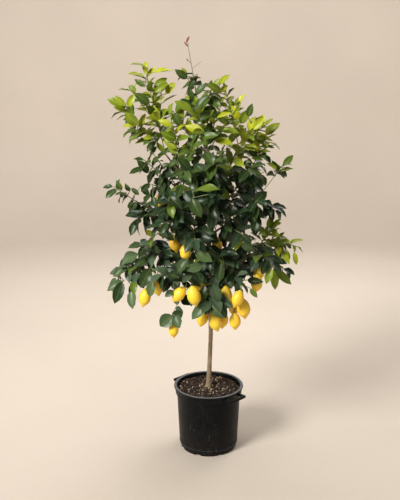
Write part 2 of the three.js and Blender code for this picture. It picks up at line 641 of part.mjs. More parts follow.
const outerRadius = (z) => between([POT.baseRadius, POT.topRadius], z / POT.height);
const innerRadius = (z) => outerRadius(z) - POT.wall;

// A block with its middle at [radius, across, z], turned about the container's axis.
function block(size, middle, azimuth) {
  const box = new THREE.BoxGeometry(...size).translate(...middle);
  return solidOf(box.rotateZ(THREE.MathUtils.degToRad(azimuth)));
}

// A grip: a straight bar on two posts that run back into the wall.
function gripSolids(azimuth) {
  const z = GRIP.top - GRIP.height / 2;
  const postMiddle = GRIP.reach - GRIP.postDepth / 2;
  const offset = (GRIP.length - GRIP.post) / 2;
  return [
    block([GRIP.bar, GRIP.length, GRIP.height], [GRIP.reach, 0, z], azimuth),
    block([GRIP.postDepth, GRIP.post, GRIP.height], [postMiddle, offset, z], azimuth),
    block([GRIP.postDepth, GRIP.post, GRIP.height], [postMiddle, -offset, z], azimuth),
  ];
}

function potSolid() {
  const skirtFoot = POT.height - POT.skirtHeight;
  const rimFoot = POT.height - POT.rimHeight;
  const mouth = POT.height - POT.rimInside;
  const shell = turned([
    [0, 0],
    [POT.footRadius - POT.footBevel, 0],
    [POT.footRadius, POT.footBevel],
    [POT.footRadius + 1, POT.footHeight],
    [outerRadius(POT.footHeight), POT.footHeight + POT.wall],
    [outerRadius(skirtFoot), skirtFoot],
    [POT.skirtRadius, skirtFoot],
    [POT.skirtRadius + 1, rimFoot],
    [POT.rimRadius, rimFoot + 2],
    [POT.rimRadius - 2, POT.height],
    [outerRadius(POT.height), POT.height],
    [innerRadius(POT.height), mouth],
    [innerRadius(POT.kneeHeight), POT.kneeHeight],
    [POT.footRadius - POT.wall, POT.floor],
    [0, POT.floor],
  ]);
  const hollow = turned([
    [0, POT.floor],
    [innerRadius(0), POT.floor],
    [innerRadius(POT.height), mouth],
    [0, mouth],
  ]);
  const grips = fuse(GRIP.azimuths.flatMap(gripSolids)).subtract(hollow);
  const drains = Array.from({ length: DRAIN.count }, (_, i) => {
    const size = [DRAIN.depth, DRAIN.width, 2 * DRAIN.height];
    return block(size, [POT.footRadius, 0, 0], (360 * (i + 0.5)) / DRAIN.count);
  });
  return shell.add(grips).subtract(fuse(drains));
}

// Potting mix: a plug that fills the container, its top raised and pitted, with a plain hole for the stem.
function soilSolid() {
  const draw = seeded(SOIL.seed);
  const ring = (radius, z) =>
    Array.from({ length: POT.sides }, (_, i) => {
      const turn = (2 * Math.PI * i) / POT.sides;
      return vec(radius * Math.sin(turn), -radius * Math.cos(turn), z);
    });
  const brim = SOIL.top - SOIL.brim;
  const rings = [
    ring(POT.footRadius - 2 * POT.wall, POT.floor + GAP),
    ring(innerRadius(POT.kneeHeight) - GAP, POT.kneeHeight + POT.wall),
    ring(innerRadius(brim) - GAP, brim),
  ];
  for (let r = 0; r < SOIL.rings; r += 1) {
    const radius = (innerRadius(brim) - SOIL.brim) * (1 - (r + 0.4) / SOIL.rings);
    rings.push(ring(radius, SOIL.top).map((p) => p.addScaledVector(UP, (draw() * 2 - 1) * SOIL.relief)));
  }
  const hole = [STEM[0][2] - GAP, POT.height].map((z) => [vec(0, 0, z), SOIL.stemHole]);
  return skin(rings, vec(0, 0, SOIL.top)).subtract(bar(hole, SOIL.holeSides));
}

// ---------- the whole tree ----------
const FINISHES = {
  plastic: { color: 0x1b1c1d, roughness: 0.55 },
  soil: { color: 0x3b2a20, roughness: 0.95 },
  bark: { color: 0x8d7a5e, roughness: 0.85 },
  mature: { color: 0x2c4a2b, roughness: 0.45 },
  young: { color: 0x8a9c2c, roughness: 0.45 },
  peel: { color: 0xf2c419, roughness: 0.4 },
};

const tree = new THREE.Group();
function place(name, solid, finish) {
  const material = new THREE.MeshStandardMaterial({ ...FINISHES[finish], metalness: 0 });
  const mesh = new THREE.Mesh(geometryOf(solid), material);
  mesh.name = name;
  tree.add(mesh);
}

const clearance = woodSolid(GAP);
const sprays = Object.entries(shoots).filter(([name, shoot]) => shoot.spray === name);
place("pot", potSolid(), "plastic");
place("soil", soilSolid(), "soil");
place("wood", woodSolid(0), "bark");
for (const [name, shoot] of sprays)
  place(`spray_${name}`, spraySolid(name, clearance), shoot.age === "young" ? "young" : "mature");
for (const [name, lemon] of Object.entries(LEMONS)) place(name, lemonSolid(lemon), "peel");

export default tree;
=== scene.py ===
"""A potted lemon tree: the looks of every piece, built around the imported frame.

Metres, +Z up, front towards -Y. The tables are in millimetres, as in the part's own source, and the
leaves grow by the same rule as there, so that each finer shoot keeps the place of its solid.
"""
import math

import bpy
import numpy as np
from bpy.props import FloatProperty, FloatVectorProperty, IntProperty, PointerProperty
from mathutils import Euler, Matrix, Vector, noise
from mathutils.bvhtree import BVHTree


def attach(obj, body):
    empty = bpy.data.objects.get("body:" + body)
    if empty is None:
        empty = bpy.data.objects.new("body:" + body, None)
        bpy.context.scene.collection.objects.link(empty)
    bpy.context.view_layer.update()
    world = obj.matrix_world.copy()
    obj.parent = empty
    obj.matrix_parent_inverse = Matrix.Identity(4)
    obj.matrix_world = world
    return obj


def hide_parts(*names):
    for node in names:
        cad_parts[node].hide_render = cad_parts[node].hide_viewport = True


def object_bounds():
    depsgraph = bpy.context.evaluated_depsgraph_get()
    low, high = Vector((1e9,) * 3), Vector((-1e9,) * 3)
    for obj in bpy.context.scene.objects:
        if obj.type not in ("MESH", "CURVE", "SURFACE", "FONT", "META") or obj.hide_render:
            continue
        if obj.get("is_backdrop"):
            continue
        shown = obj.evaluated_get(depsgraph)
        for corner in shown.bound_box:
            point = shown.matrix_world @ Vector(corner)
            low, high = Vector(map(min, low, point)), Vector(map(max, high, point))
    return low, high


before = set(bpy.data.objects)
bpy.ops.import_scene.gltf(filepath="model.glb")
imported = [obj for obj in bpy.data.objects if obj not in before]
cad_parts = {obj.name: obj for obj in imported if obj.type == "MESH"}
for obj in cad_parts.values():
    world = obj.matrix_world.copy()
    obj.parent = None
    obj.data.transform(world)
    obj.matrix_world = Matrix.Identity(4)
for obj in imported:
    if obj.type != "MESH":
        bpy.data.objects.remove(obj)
CAD_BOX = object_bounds()

bl_info = {
    "name": "Potted lemon tree",
    "version": (1, 0, 0),
    "blender": (4, 5, 0),
    "location": "3D View > Sidebar > Lemon tree",
    "description": "Container, potting mix, wood, leafy shoots, fruit and studio of a young lemon tree",
    "category": "Object",
}

MM = 0.001
BODY = "root"

# ---------- the tree's own sizes, in millimetres ----------
POT = {
    "height": 308, "rim": 165, "rim_foot": 299, "skirt": 158, "skirt_foot": 272,
    "top": 152, "base": 138, "foot": 133, "foot_height": 20, "bead": 31, "wall": 3, "floor": 4,
}
DRAIN = {"count": 8, "width": 26, "height": 9, "depth": 24}
GRIP = {
    "azimuths": (-45, 135), "reach": 187, "length": 104, "bar": 10, "height": 13,
    "post": 14, "post_depth": 40, "top": 294,
}
MOSS_COUNT, MOSS_REACH = 260, 34
SOIL = {"top": 293, "brim": 287, "foot": 268, "seed": 77}

# The stem: x, y, z, radius.
STEM = (
    (0, 0, 188, 11), (0, 0, 302, 13), (4, 0, 400, 10.5), (10, 0, 560, 10), (6, 2, 700, 9.5),
    (-8, 5, 868, 8.5), (6, 6, 1040, 7.5), (2, 8, 1220, 6.5), (-18, 6, 1400, 5), (-32, 2, 1516, 4),
)

# Limbs: the height at which each leaves the stem, its end, and how far it bows up at mid length.
LIMBS = {
    "lower_left": (800, (-215, -60, 965), 10),
    "lower_front_left": (730, (-100, -140, 860), 30),
    "lower_front": (690, (5, -160, 800), 40),
    "lower_front_right": (830, (75, -150, 955), 0),
    "lower_right": (820, (205, -60, 960), 20),
    "right": (890, (225, 10, 985), 20),
    "lower_back_left": (770, (-140, 150, 900), 30),
    "lower_back": (720, (20, 170, 860), 30),
    "lower_back_right": (790, (160, 130, 930), 30),
    "mid_left": (960, (-220, -20, 1130), -20),
    "mid_front_left": (980, (-110, -150, 1130), -10),
    "mid_front": (1010, (30, -170, 1150), -10),
    "mid_right": (1030, (200, -20, 1190), -20),
    "mid_back_left": (1000, (-120, 150, 1160), -20),
    "mid_back_right": (1050, (120, 140, 1190), -20),
    "high_left": (1100, (-165, -30, 1270), -20),
    "high_front": (1120, (0, -130, 1280), -20),
    "high_right": (1110, (150, -40, 1290), -20),
    "high_back": (1130, (0, 130, 1290), -20),
    "upper_left": (1180, (-195, -10, 1400), -40),
    "upper_right": (1200, (130, -10, 1430), -40),
    "upper_front": (1230, (0, -120, 1400), -30),
    "upper_back": (1260, (-10, 120, 1430), -30),
}
LIMB_RADII = (6.5, 4)

# Shoots: name, what carries it, how far along, its end, bow, number and length of its leaves, and
# where it departs from the usual: the share with no leaves, where its leaves stop, and its age.
SHOOTS = (
    ("lower_left_a", "lower_left", 1, (-415, -100, 860), 60, 9, 106),
    ("lower_left_b", "lower_left_a", 0.3, (-335, -160, 850), 30, 6, 104),
    ("lower_left_c", "lower_left", 0.6, (-290, 90, 960), 30, 5, 95),
    ("lower_left_d", "lower_left", 0.8, (-300, -130, 1010), 10, 7, 92),
    ("lower_front_left_a", "lower_front_left", 1, (-205, -200, 900), 10, 6, 92),
    ("lower_front_left_b", "lower_front_left", 0.7, (-158, -182, 722), 55, 5, 60,
     {"bare": 0.5, "age": "round"}),
    ("lower_front_left_c", "lower_front_left_a", 0.1, (-60, -235, 915), 10, 5, 92),
    ("lower_front_a", "lower_front", 1, (0, -215, 775), 20, 8, 108, {"bare": 0}),
    ("lower_front_b", "lower_front_a", 0.02, (70, -120, 765), 20, 4, 95),
    ("lower_front_right_a", "lower_front_right", 1, (130, -256, 868), 15, 6, 88),
    ("lower_front_right_b", "lower_front_right_a", 0.03, (20, -235, 985), 15, 6, 95),
    ("lower_front_right_c", "lower_front_right_a", 0.55, (112, -190, 800), 0, 2, 80, {"stop": 0.6}),
    ("lower_right_a", "lower_right", 1, (262, -172, 950), 15, 6, 92),
    ("lower_right_b", "lower_right", 0.6, (230, 80, 890), 30, 5, 95),
    ("right_a", "right", 1, (395, -25, 985), 45, 9, 72, {"age": "young"}),
    ("right_b", "right", 0.85, (345, -55, 882), 35, 7, 86),
    ("right_c", "right_a", 0.06, (285, -60, 1085), -10, 6, 76, {"age": "young"}),
    ("lower_back_left_a", "lower_back_left", 1, (-250, 230, 900), 30, 6, 95),
    ("lower_back_left_b", "lower_back_left_a", 0.08, (-80, 270, 890), 30, 4, 95),
    ("lower_back_a", "lower_back", 1, (60, 280, 840), 40, 6, 95),
    ("lower_back_right_a", "lower_back_right", 1, (260, 220, 920), 30, 6, 95),
    ("lower_back_right_b", "lower_back_right_a", 0.06, (140, 280, 990), 10, 4, 92),
    ("mid_left_a", "mid_left", 1, (-425, -45, 1258), -10, 8, 74, {"bare": 0.15}),
    ("mid_left_b", "mid_left_a", 0.03, (-315, -110, 1120), 25, 6, 98),
    ("mid_left_c", "mid_left", 0.5, (-250, 120, 1150), 10, 4, 95),
    ("mid_front_left_a", "mid_front_left", 1, (-170, -265, 1225), 10, 7, 96),
    ("mid_front_left_b", "mid_front_left", 0.7, (-60, -270, 1065), 20, 6, 96),
    ("mid_front_left_c", "mid_front_left_a", 0.05, (-215, -210, 1110), 20, 5, 92),
    ("mid_front_a", "mid_front", 1, (5, -280, 1255), 5, 6, 96),
    ("mid_front_b", "mid_front", 0.7, (140, -240, 1080), 20, 6, 96),
    ("mid_right_a", "mid_right", 1, (318, -30, 1345), -15, 5, 66, {"bare": 0.74}),
    ("mid_right_b", "mid_right_a", 0.04, (295, -60, 1150), 25, 6, 86),
    ("mid_right_c", "mid_right", 0.7, (205, -175, 1215), 0, 6, 94),
    ("mid_back_left_a", "mid_back_left", 1, (-220, 265, 1230), 0, 5, 95),
    ("mid_back_right_a", "mid_back_right", 1, (220, 260, 1240), 0, 6, 95),
    ("mid_back_right_b", "mid_back_right", 0.6, (20, 280, 1120), 20, 4, 95),
    ("high_left_a", "high_left", 1, (-285, -50, 1375), 0, 6, 86),
    ("high_left_b", "high_left_a", 0.05, (-228, -66, 1262), 10, 4, 90),
    ("high_front_a", "high_front", 1, (20, -245, 1390), 0, 6, 94),
    ("high_front_b", "high_front_a", 0.05, (-110, -225, 1345), 10, 6, 94),
    ("high_right_a", "high_right", 1, (232, -50, 1420), 0, 6, 86),
    ("high_right_b", "high_right_a", 0.05, (165, -180, 1350), 10, 6, 92),
    ("high_back_a", "high_back", 1, (70, 250, 1400), 0, 5, 95),
    ("high_back_b", "high_back_a", 0.05, (-130, 225, 1380), 10, 4, 92),
    ("upper_left_a", "upper_left", 1, (-272, -10, 1738), 0, 12, 84, {"age": "young"}),
    ("upper_left_b", "upper_left_a", 0.07, (-385, -30, 1600), -10, 9, 84, {"age": "young"}),
    ("upper_left_c", "upper_left", 0.6, (-165, -130, 1560), -10, 6, 88, {"age": "young"}),
    ("upper_right_a", "upper_right", 1, (70, -5, 1672), 0, 9, 70, {"age": "young"}),
    ("upper_right_b", "upper_right_a", 0.05, (245, -25, 1525), -10, 7, 80, {"age": "young"}),
    ("upper_right_c", "upper_right", 0.6, (180, -140, 1520), -10, 6, 86, {"age": "young"}),
    ("upper_front_a", "upper_front", 1, (-50, -190, 1600), 0, 7, 86, {"age": "young"}),
    ("upper_front_b", "upper_front_a", 0.08, (85, -175, 1570), 10, 6, 86, {"age": "young"}),
    ("upper_back_a", "upper_back", 1, (60, 170, 1620), 0, 5, 84, {"age": "young"}),
    ("upper_back_b", "upper_back_a", 0.05, (-150, 180, 1520), 0, 4, 86, {"age": "young"}),
    ("leader", "stem", 1, (-98, 0, 1893), 0, 11, 82, {"bare": 0.04, "stop": 0.6}),
    ("leader_twig", "leader", 0.66, (-34, -8, 1796), 0, 1, 34, {"age": "young"}),
    ("leader_bud_a", "leader", 0.97, (-86, -3, 1900), 0, 0, 0),
    ("leader_bud_b", "leader", 0.9, (-110, -4, 1877), 0, 0, 0),
    ("leader_bud_c", "leader", 0.72, (-101, -6, 1806), 0, 0, 0),
    ("leader_b", "leader", 0.12, (15, -50, 1690), 0, 6, 80),
)

# Lemons: the shoot that carries each, how far along it, the fruit's middle, its lean in degrees and
# its length.
LEMONS = {
    "lemon_01": ("lower_left_b", 0.55, (-283, -170, 785), -12, 88),
    "lemon_02": ("lower_left_b", 0.2, (-228, -152, 828), 8, 84),
    "lemon_03": ("lower_front_left_a", 0.2, (-132, -212, 811), -38, 86),
    "lemon_04": ("lower_front_left_c", 0.5, (-66, -232, 810), 12, 96),
    "lemon_05": ("lower_front_left_a", 0.05, (-42, -165, 838), 20, 74),
    "lemon_06": ("mid_front_left_c", 0.2, (-152, -90, 1008), 12, 80),
    "lemon_07": ("mid_front_left_b", 0.1, (-104, -150, 983), 6, 80),
    "lemon_08": ("high_left_b", 1, (-218, -62, 1192), 5, 70),
    "lemon_09": ("mid_front_b", 0.1, (34, -90, 1006), 10, 78),
    "lemon_10": ("lower_right_a", 0.35, (219, -128, 893), 5, 84),
    "lemon_11": ("lower_right_a", 0.6, (206, -170, 850), -5, 84),
    "lemon_12": ("lower_front_right_b", 0.1, (71, -165, 792), 4, 98),
    "lemon_13": ("lower_front_right_a", 1, (118, -262, 806), -20, 82),
    "lemon_14": ("lower_front_right_a", 0.8, (147, -213, 748), 8, 96),
    "lemon_15": ("lower_front_right_c", 0.9, (108, -160, 738), 0, 80),
    "lemon_16": ("lower_front_right_c", 1, (112, -195, 685), 2, 82),
    "lemon_17": ("lower_front_a", 0.2, (-30, -155, 686), -16, 84),
    "lemon_18": ("lower_front_a", 0.4, (26, -172, 674), 16, 92),
    "lemon_19": ("lower_front_b", 0.6, (62, -115, 664), -6, 82),
    "lemon_20": ("lower_front_left_b", 1, (-157, -182, 640), 0, 74),
}

# Leaf habit by age: pitch in degrees, sag, curl, fold, half width over length, and how much the upper
# side looks up and out from the stem.
AGES = {
    "mature": {"pitch": 62, "sag": 0.45, "curl": 0.75, "fold": 0.28, "half": 0.25, "up": 0.5, "out": 0.35},
    "round": {"pitch": 80, "sag": 0.3, "curl": 0.4, "fold": 0.1, "half": 0.42, "up": 0.2, "out": 0.5},
    "young": {"pitch": 50, "sag": 0.06, "curl": 0.6, "fold": 0.34, "half": 0.225, "up": 0.6, "out": 0.3},
}
PETIOLE = 0.05
PETIOLE_HALF_WIDTH = 1.3
SUNK = 1
TIP_SUNK = 3
LIGHT = np.array((-0.25, -0.5, 0.4))
SEED = 4127
GOLDEN_ANGLE = 2.39996
TRIES = 16
STRAY_AZIMUTH = (0.5, 2.4)
STRAY_PITCH = (0.35, 1)
TIP_PITCH = 8
TIP_STRAY = 0.2
ROLL = 1.2
LENGTHS = (0.8, 1.15)
CURLS = (0.35, 1.55)
LEAF_BALL = 5.2
STEM_ROOM = 4
BALL_STEP = 6
SAMPLE_STATIONS = (0.3, 0.4, 0.5, 0.6, 0.7, 0.8, 0.9)
SAMPLE_ACROSS = (-1, -0.5, 0, 0.5, 1)
LEMON_BALLS = ((-0.42, 0.45), (-0.2, 0.85), (0.02, 1.05), (0.22, 0.9), (0.4, 0.5))
LEMON_SLENDERNESS = 0.6
STALK_REACH = 30
GAP = 0.3
SHOOT_RADIUS = 3.2
STALK_RADIUS = 2
BRANCH_STEPS = 2
CROWN_FOOT = 600

UP = np.array((0.0, 0.0, 1.0))


# ---------- drawing numbers and points ----------
def seeded(seed):
    """A function that draws the next number from 0 to 1, the same ones every run."""
    state = seed

    def draw():
        nonlocal state
        state = state * 16807 % 2147483647
        return state / 2147483647

    return draw


def between(pair, share):
    return pair[0] + (pair[1] - pair[0]) * share


def unit(v):
    return v / np.sqrt(v @ v)


def curve_of(start, end, bow):
    middle = start + (end - start) * 0.5 + bow * UP
    return (start, middle, end)


def curve_point(curve, t):
    return (1 - t) ** 2 * curve[0] + 2 * (1 - t) * t * curve[1] + t * t * curve[2]


def curve_direction(curve, t):
    first, second = curve[1] - curve[0], curve[2] - curve[1]
    return unit(first + (second - first) * t)


def branch_point(curve, t):
    """The middle of the branch, on the straight stretch between two of its stations."""
    i = min(math.floor(t * BRANCH_STEPS), BRANCH_STEPS - 1)
    start, end = curve_point(curve, i / BRANCH_STEPS), curve_point(curve, (i + 1) / BRANCH_STEPS)
    return start + (end - start) * (t * BRANCH_STEPS - i)


def stem_at(height):
    i = 1
    while i < len(STEM) - 1 and STEM[i][2] < height:
        i += 1
    low, high = np.array(STEM[i - 1], float), np.array(STEM[i], float)
    row = low + (high - low) * ((height - low[2]) / (high[2] - low[2]))
    return row[:3], row[3]


def turns_of(sides):
    """The directions of a ring's corners, in radians."""
    return np.arange(sides) * 2 * math.pi / sides


def evened(values, times):
    """A path or its radii with the bends taken out, both ends kept."""
    for _ in range(times):
        values[1:-1] = values[1:-1] * 0.5 + (values[:-2] + values[2:]) * 0.25
    return values


def across(axis):
    """Two directions square to the axis, the first as level as can be."""
    start = np.array((1.0, 0, 0)) if abs(axis[2]) > 0.95 else UP
    side = unit(np.cross(start, axis))
    return side, unit(np.cross(axis, side))


# ---------- the form of one leaf ----------
class Leaf:
    """Where one blade starts, which way it goes and faces, and its shape."""

    youth = None

    def half_width(self, t):
        u = np.clip((t - PETIOLE) / (1 - PETIOLE), 0, 1)
        oval = (4 * u * (1 - u)) ** 0.75 * (1.15 - 0.35 * u)
        return PETIOLE_HALF_WIDTH * (1 - u) + self.length * self.half * oval

    def points(self, t, share, lift=0.0):
        """Points of the blade at shares t of its length and share across it, lifted off its upper side."""
        angle = self.curl * t
        reach = self.length * np.sin(angle) / self.curl
        drop = self.length * (1 - np.cos(angle)) / self.curl
        width = self.half_width(t) * share
        rise = np.abs(width) * math.sin(self.fold) + lift
        ahead = (reach + rise * np.sin(angle))[:, None] * self.ahead
        face = (rise * np.cos(angle) - drop)[:, None] * self.face
        return self.root + ahead + face + (width * math.cos(self.fold))[:, None] * self.side


def leaf_at(shoot, t, turn, loosen, draw):
    """A leaf at share t of a shoot; the higher `loosen`, the further it may stray to find room."""
    age = AGES[shoot["age"]]
    last = t > 0.99
    axis = curve_direction(shoot["curve"], t)
    side, other = across(axis)
    azimuth = turn + (draw() - 0.5) * (STRAY_AZIMUTH[0] + STRAY_AZIMUTH[1] * loosen)
    stray = draw() - 0.5
    if last:
        pitch = math.radians(TIP_PITCH) + stray * TIP_STRAY
    else:
        pitch = math.radians(age["pitch"] * (1 - 0.25 * t**3))
        pitch += stray * (STRAY_PITCH[0] + STRAY_PITCH[1] * loosen)
    leaf = Leaf()
    leaf.length = shoot["leaf"] * between(LENGTHS, draw()) * (1 - 0.25 * loosen) * (1 - 0.3 * t**4)
    roll = (draw() - 0.5) * ROLL
    leaf.curl = age["curl"] * between(CURLS, draw())
    leaf.root = branch_point(shoot["curve"], t)
    leaf.ahead = unit(
        axis * math.cos(pitch)
        + side * math.sin(pitch) * math.cos(azimuth)
        + other * math.sin(pitch) * math.sin(azimuth)
        - UP * age["sag"]
    )
    outward = leaf.root * (1, 1, 0)
    wanted = LIGHT + UP * age["up"] + unit(outward) * age["out"]
    level = unit(wanted - leaf.ahead * (wanted @ leaf.ahead))
    leaf.face = level * math.cos(roll) + np.cross(leaf.ahead, level) * math.sin(roll)
    leaf.side = np.cross(leaf.face, leaf.ahead)
    leaf.fold, leaf.half, leaf.sunk = age["fold"], age["half"], TIP_SUNK if last else SUNK
    leaf.along = t
    return leaf


# ---------- room: every piece is also a cloud of balls that a new leaf stands clear of ----------
SAMPLE_T = np.array([t for t in SAMPLE_STATIONS for _ in SAMPLE_ACROSS] + [1.0])
SAMPLE_SHARE = np.array([s for _ in SAMPLE_STATIONS for s in SAMPLE_ACROSS] + [0.0])


class Room:
    CELL = 40

    def __init__(self):
        self.cells = {}

    def fill(self, points, radius):
        for point in np.atleast_2d(points):
            key = tuple(int(c // self.CELL) for c in point)
            self.cells.setdefault(key, []).append((*point, radius))

    def fill_curve(self, curve, radius):
        steps = math.ceil(math.dist(curve[0], curve[2]) / BALL_STEP)
        self.fill([curve_point(curve, i / steps) for i in range(steps + 1)], radius)

    def taken(self, points, radius):
        low = ((points.min(0) // self.CELL) - 1).astype(int)
        high = ((points.max(0) // self.CELL) + 1).astype(int)
        balls = []
        for x in range(low[0], high[0] + 1):
            for y in range(low[1], high[1] + 1):
                for z in range(low[2], high[2] + 1):
                    balls += self.cells.get((x, y, z), ())
        if not balls:
            return False
        balls = np.array(balls)
        gaps = np.linalg.norm(points[:, None] - balls[None, :, :3], axis=2) - balls[:, 3]
        return bool((gaps < radius).any())


def grow(shoot, shares, turns, tries, ball, room, draw):
    """Leaves at the given shares of a shoot. One that finds no room is left out."""
    grown = []
    for t, turn in zip(shares, turns):
        for attempt in range(tries):
            leaf = leaf_at(shoot, t, turn, attempt / TRIES, draw)
            samples = leaf.points(SAMPLE_T, SAMPLE_SHARE)
            if room.taken(samples, ball):
                continue
            room.fill(samples, ball)
            grown.append(leaf)
            break
    return grown


# ---------- the whole tree as curves and leaves ----------
def lemon_axis(lean):
    return np.array((-math.sin(math.radians(lean)), 0, math.cos(math.radians(lean))))


def fill_frame(room, tree, ball):
    """Fills the room of stem, limbs, shoots, stalks and fruit, in that order."""
    spare = ball - LEAF_BALL
    height = CROWN_FOOT
    while height < STEM[-1][2]:
        point, radius = stem_at(height)
        room.fill(point, radius + STEM_ROOM + spare)
        height += BALL_STEP
    for curve in tree["limbs"].values():
        room.fill_curve(curve, LIMB_RADII[0] + STEM_ROOM + spare)
    for shoot in tree["shoots"].values():
        room.fill_curve(shoot["curve"], SHOOT_RADIUS + STEM_ROOM + spare)
    for curve in tree["stalks"].values():
        room.fill_curve(curve, STALK_RADIUS + STEM_ROOM + spare)
    for _, _, middle, lean, length in LEMONS.values():
        radius = length * LEMON_SLENDERNESS / 2
        for along, share in LEMON_BALLS:
            room.fill(np.array(middle) + lemon_axis(lean) * along * length, share * radius)


def add_row(tree, row):
    """A shoot from its row: its curve, and the spray that it belongs to."""
    name, on, at, end, bow, leaves, size, *rest = row
    shoot = {"bare": 0.12, "stop": 1, "age": "mature", "leaves": leaves, "leaf": size, "grown": []}
    shoot.update(rest[0] if rest else {})
    if on == "stem":
        start = np.array(STEM[-1][:3], float)
    elif on in tree["limbs"]:
        start = branch_point(tree["limbs"][on], at)
    else:
        start = branch_point(tree["shoots"][on]["curve"], at)
    shoot["curve"] = curve_of(start, np.array(end, float), bow)
    shoot["spray"] = tree["shoots"][on]["spray"] if on in tree["shoots"] else name
    tree["shoots"][name] = shoot


def plan_tree():
    """The curves of limbs, shoots and stalks, and the first growth of leaves, as in the solids."""
    tree = {"limbs": {}, "shoots": {}, "stalks": {}}
    for name, (height, end, bow) in LIMBS.items():
        tree["limbs"][name] = curve_of(stem_at(height)[0], np.array(end, float), bow)
    for row in SHOOTS:
        add_row(tree, row)
    for name, (on, at, middle, lean, length) in LEMONS.items():
        axis = lemon_axis(lean)
        end = np.array(middle) + axis * (length / 2 + GAP)
        start = branch_point(tree["shoots"][on]["curve"], at)
        reach = min(STALK_REACH, 0.6 * math.dist(start, end))
        tree["stalks"][name] = (start, end + axis * reach, end)
    room = Room()
    fill_frame(room, tree, LEAF_BALL)
    draw = seeded(SEED)
    for shoot in tree["shoots"].values():
        count = shoot["leaves"]
        shares = [shoot["bare"] + (shoot["stop"] - shoot["bare"]) * (i + 1) / count for i in range(count)]
        turns = [i * GOLDEN_ANGLE for i in range(count)]
        shoot["grown"] = grow(shoot, shares, turns, TRIES, LEAF_BALL, room, draw)
    return tree


# ---------- the second growth: the leaves that the solids leave out ----------
# Leaves that it adds for each of the first: on these shoots, and on all the others.
THICKEN = {
    "leader": 0.7, "leader_b": 1.0, "leader_twig": 0, "right_a": 0.8, "lower_left_a": 0.8,
    "mid_left_a": 0.6, "mid_right_a": 0.8, "lower_front_left_b": 0, "upper_left_a": 1.2,
    "lower_front_right_c": 0, "lower_front_a": 0.6,
}
THICKEN_USUAL = 1.3
# Forks that the solids leave out, in the same form as the rows above.
FORKS = (
    ("upper_left_e", "upper_left_a", 0.35, (-338, -45, 1675), -5, 10, 84, {"age": "young"}),
    ("upper_left_f", "upper_left_a", 0.3, (-205, -60, 1690), -5, 10, 82, {"age": "young"}),
    ("upper_left_g", "upper_left_b", 0.45, (-345, 20, 1500), 5, 8, 84),
    ("upper_right_e", "upper_right_a", 0.3, (125, -60, 1630), -5, 8, 76, {"age": "young"}),
    ("upper_right_f", "upper_right_b", 0.4, (265, -70, 1450), 5, 8, 84, {"age": "young"}),
    ("leader_c", "leader", 0.1, (-115, -75, 1640), 0, 8, 84),
    ("leader_d", "leader", 0.2, (40, -20, 1690), 0, 8, 80, {"age": "young"}),
    ("high_left_e", "high_left", 0.7, (-270, -70, 1440), 5, 8, 86),
    ("high_right_e", "high_right", 0.8, (245, -75, 1330), 5, 8, 88),
    ("mid_left_e", "mid_left", 0.8, (-330, -60, 1200), 10, 8, 88),
    ("right_e", "right_a", 0.4, (330, -75, 940), 40, 7, 76, {"age": "young"}),
)
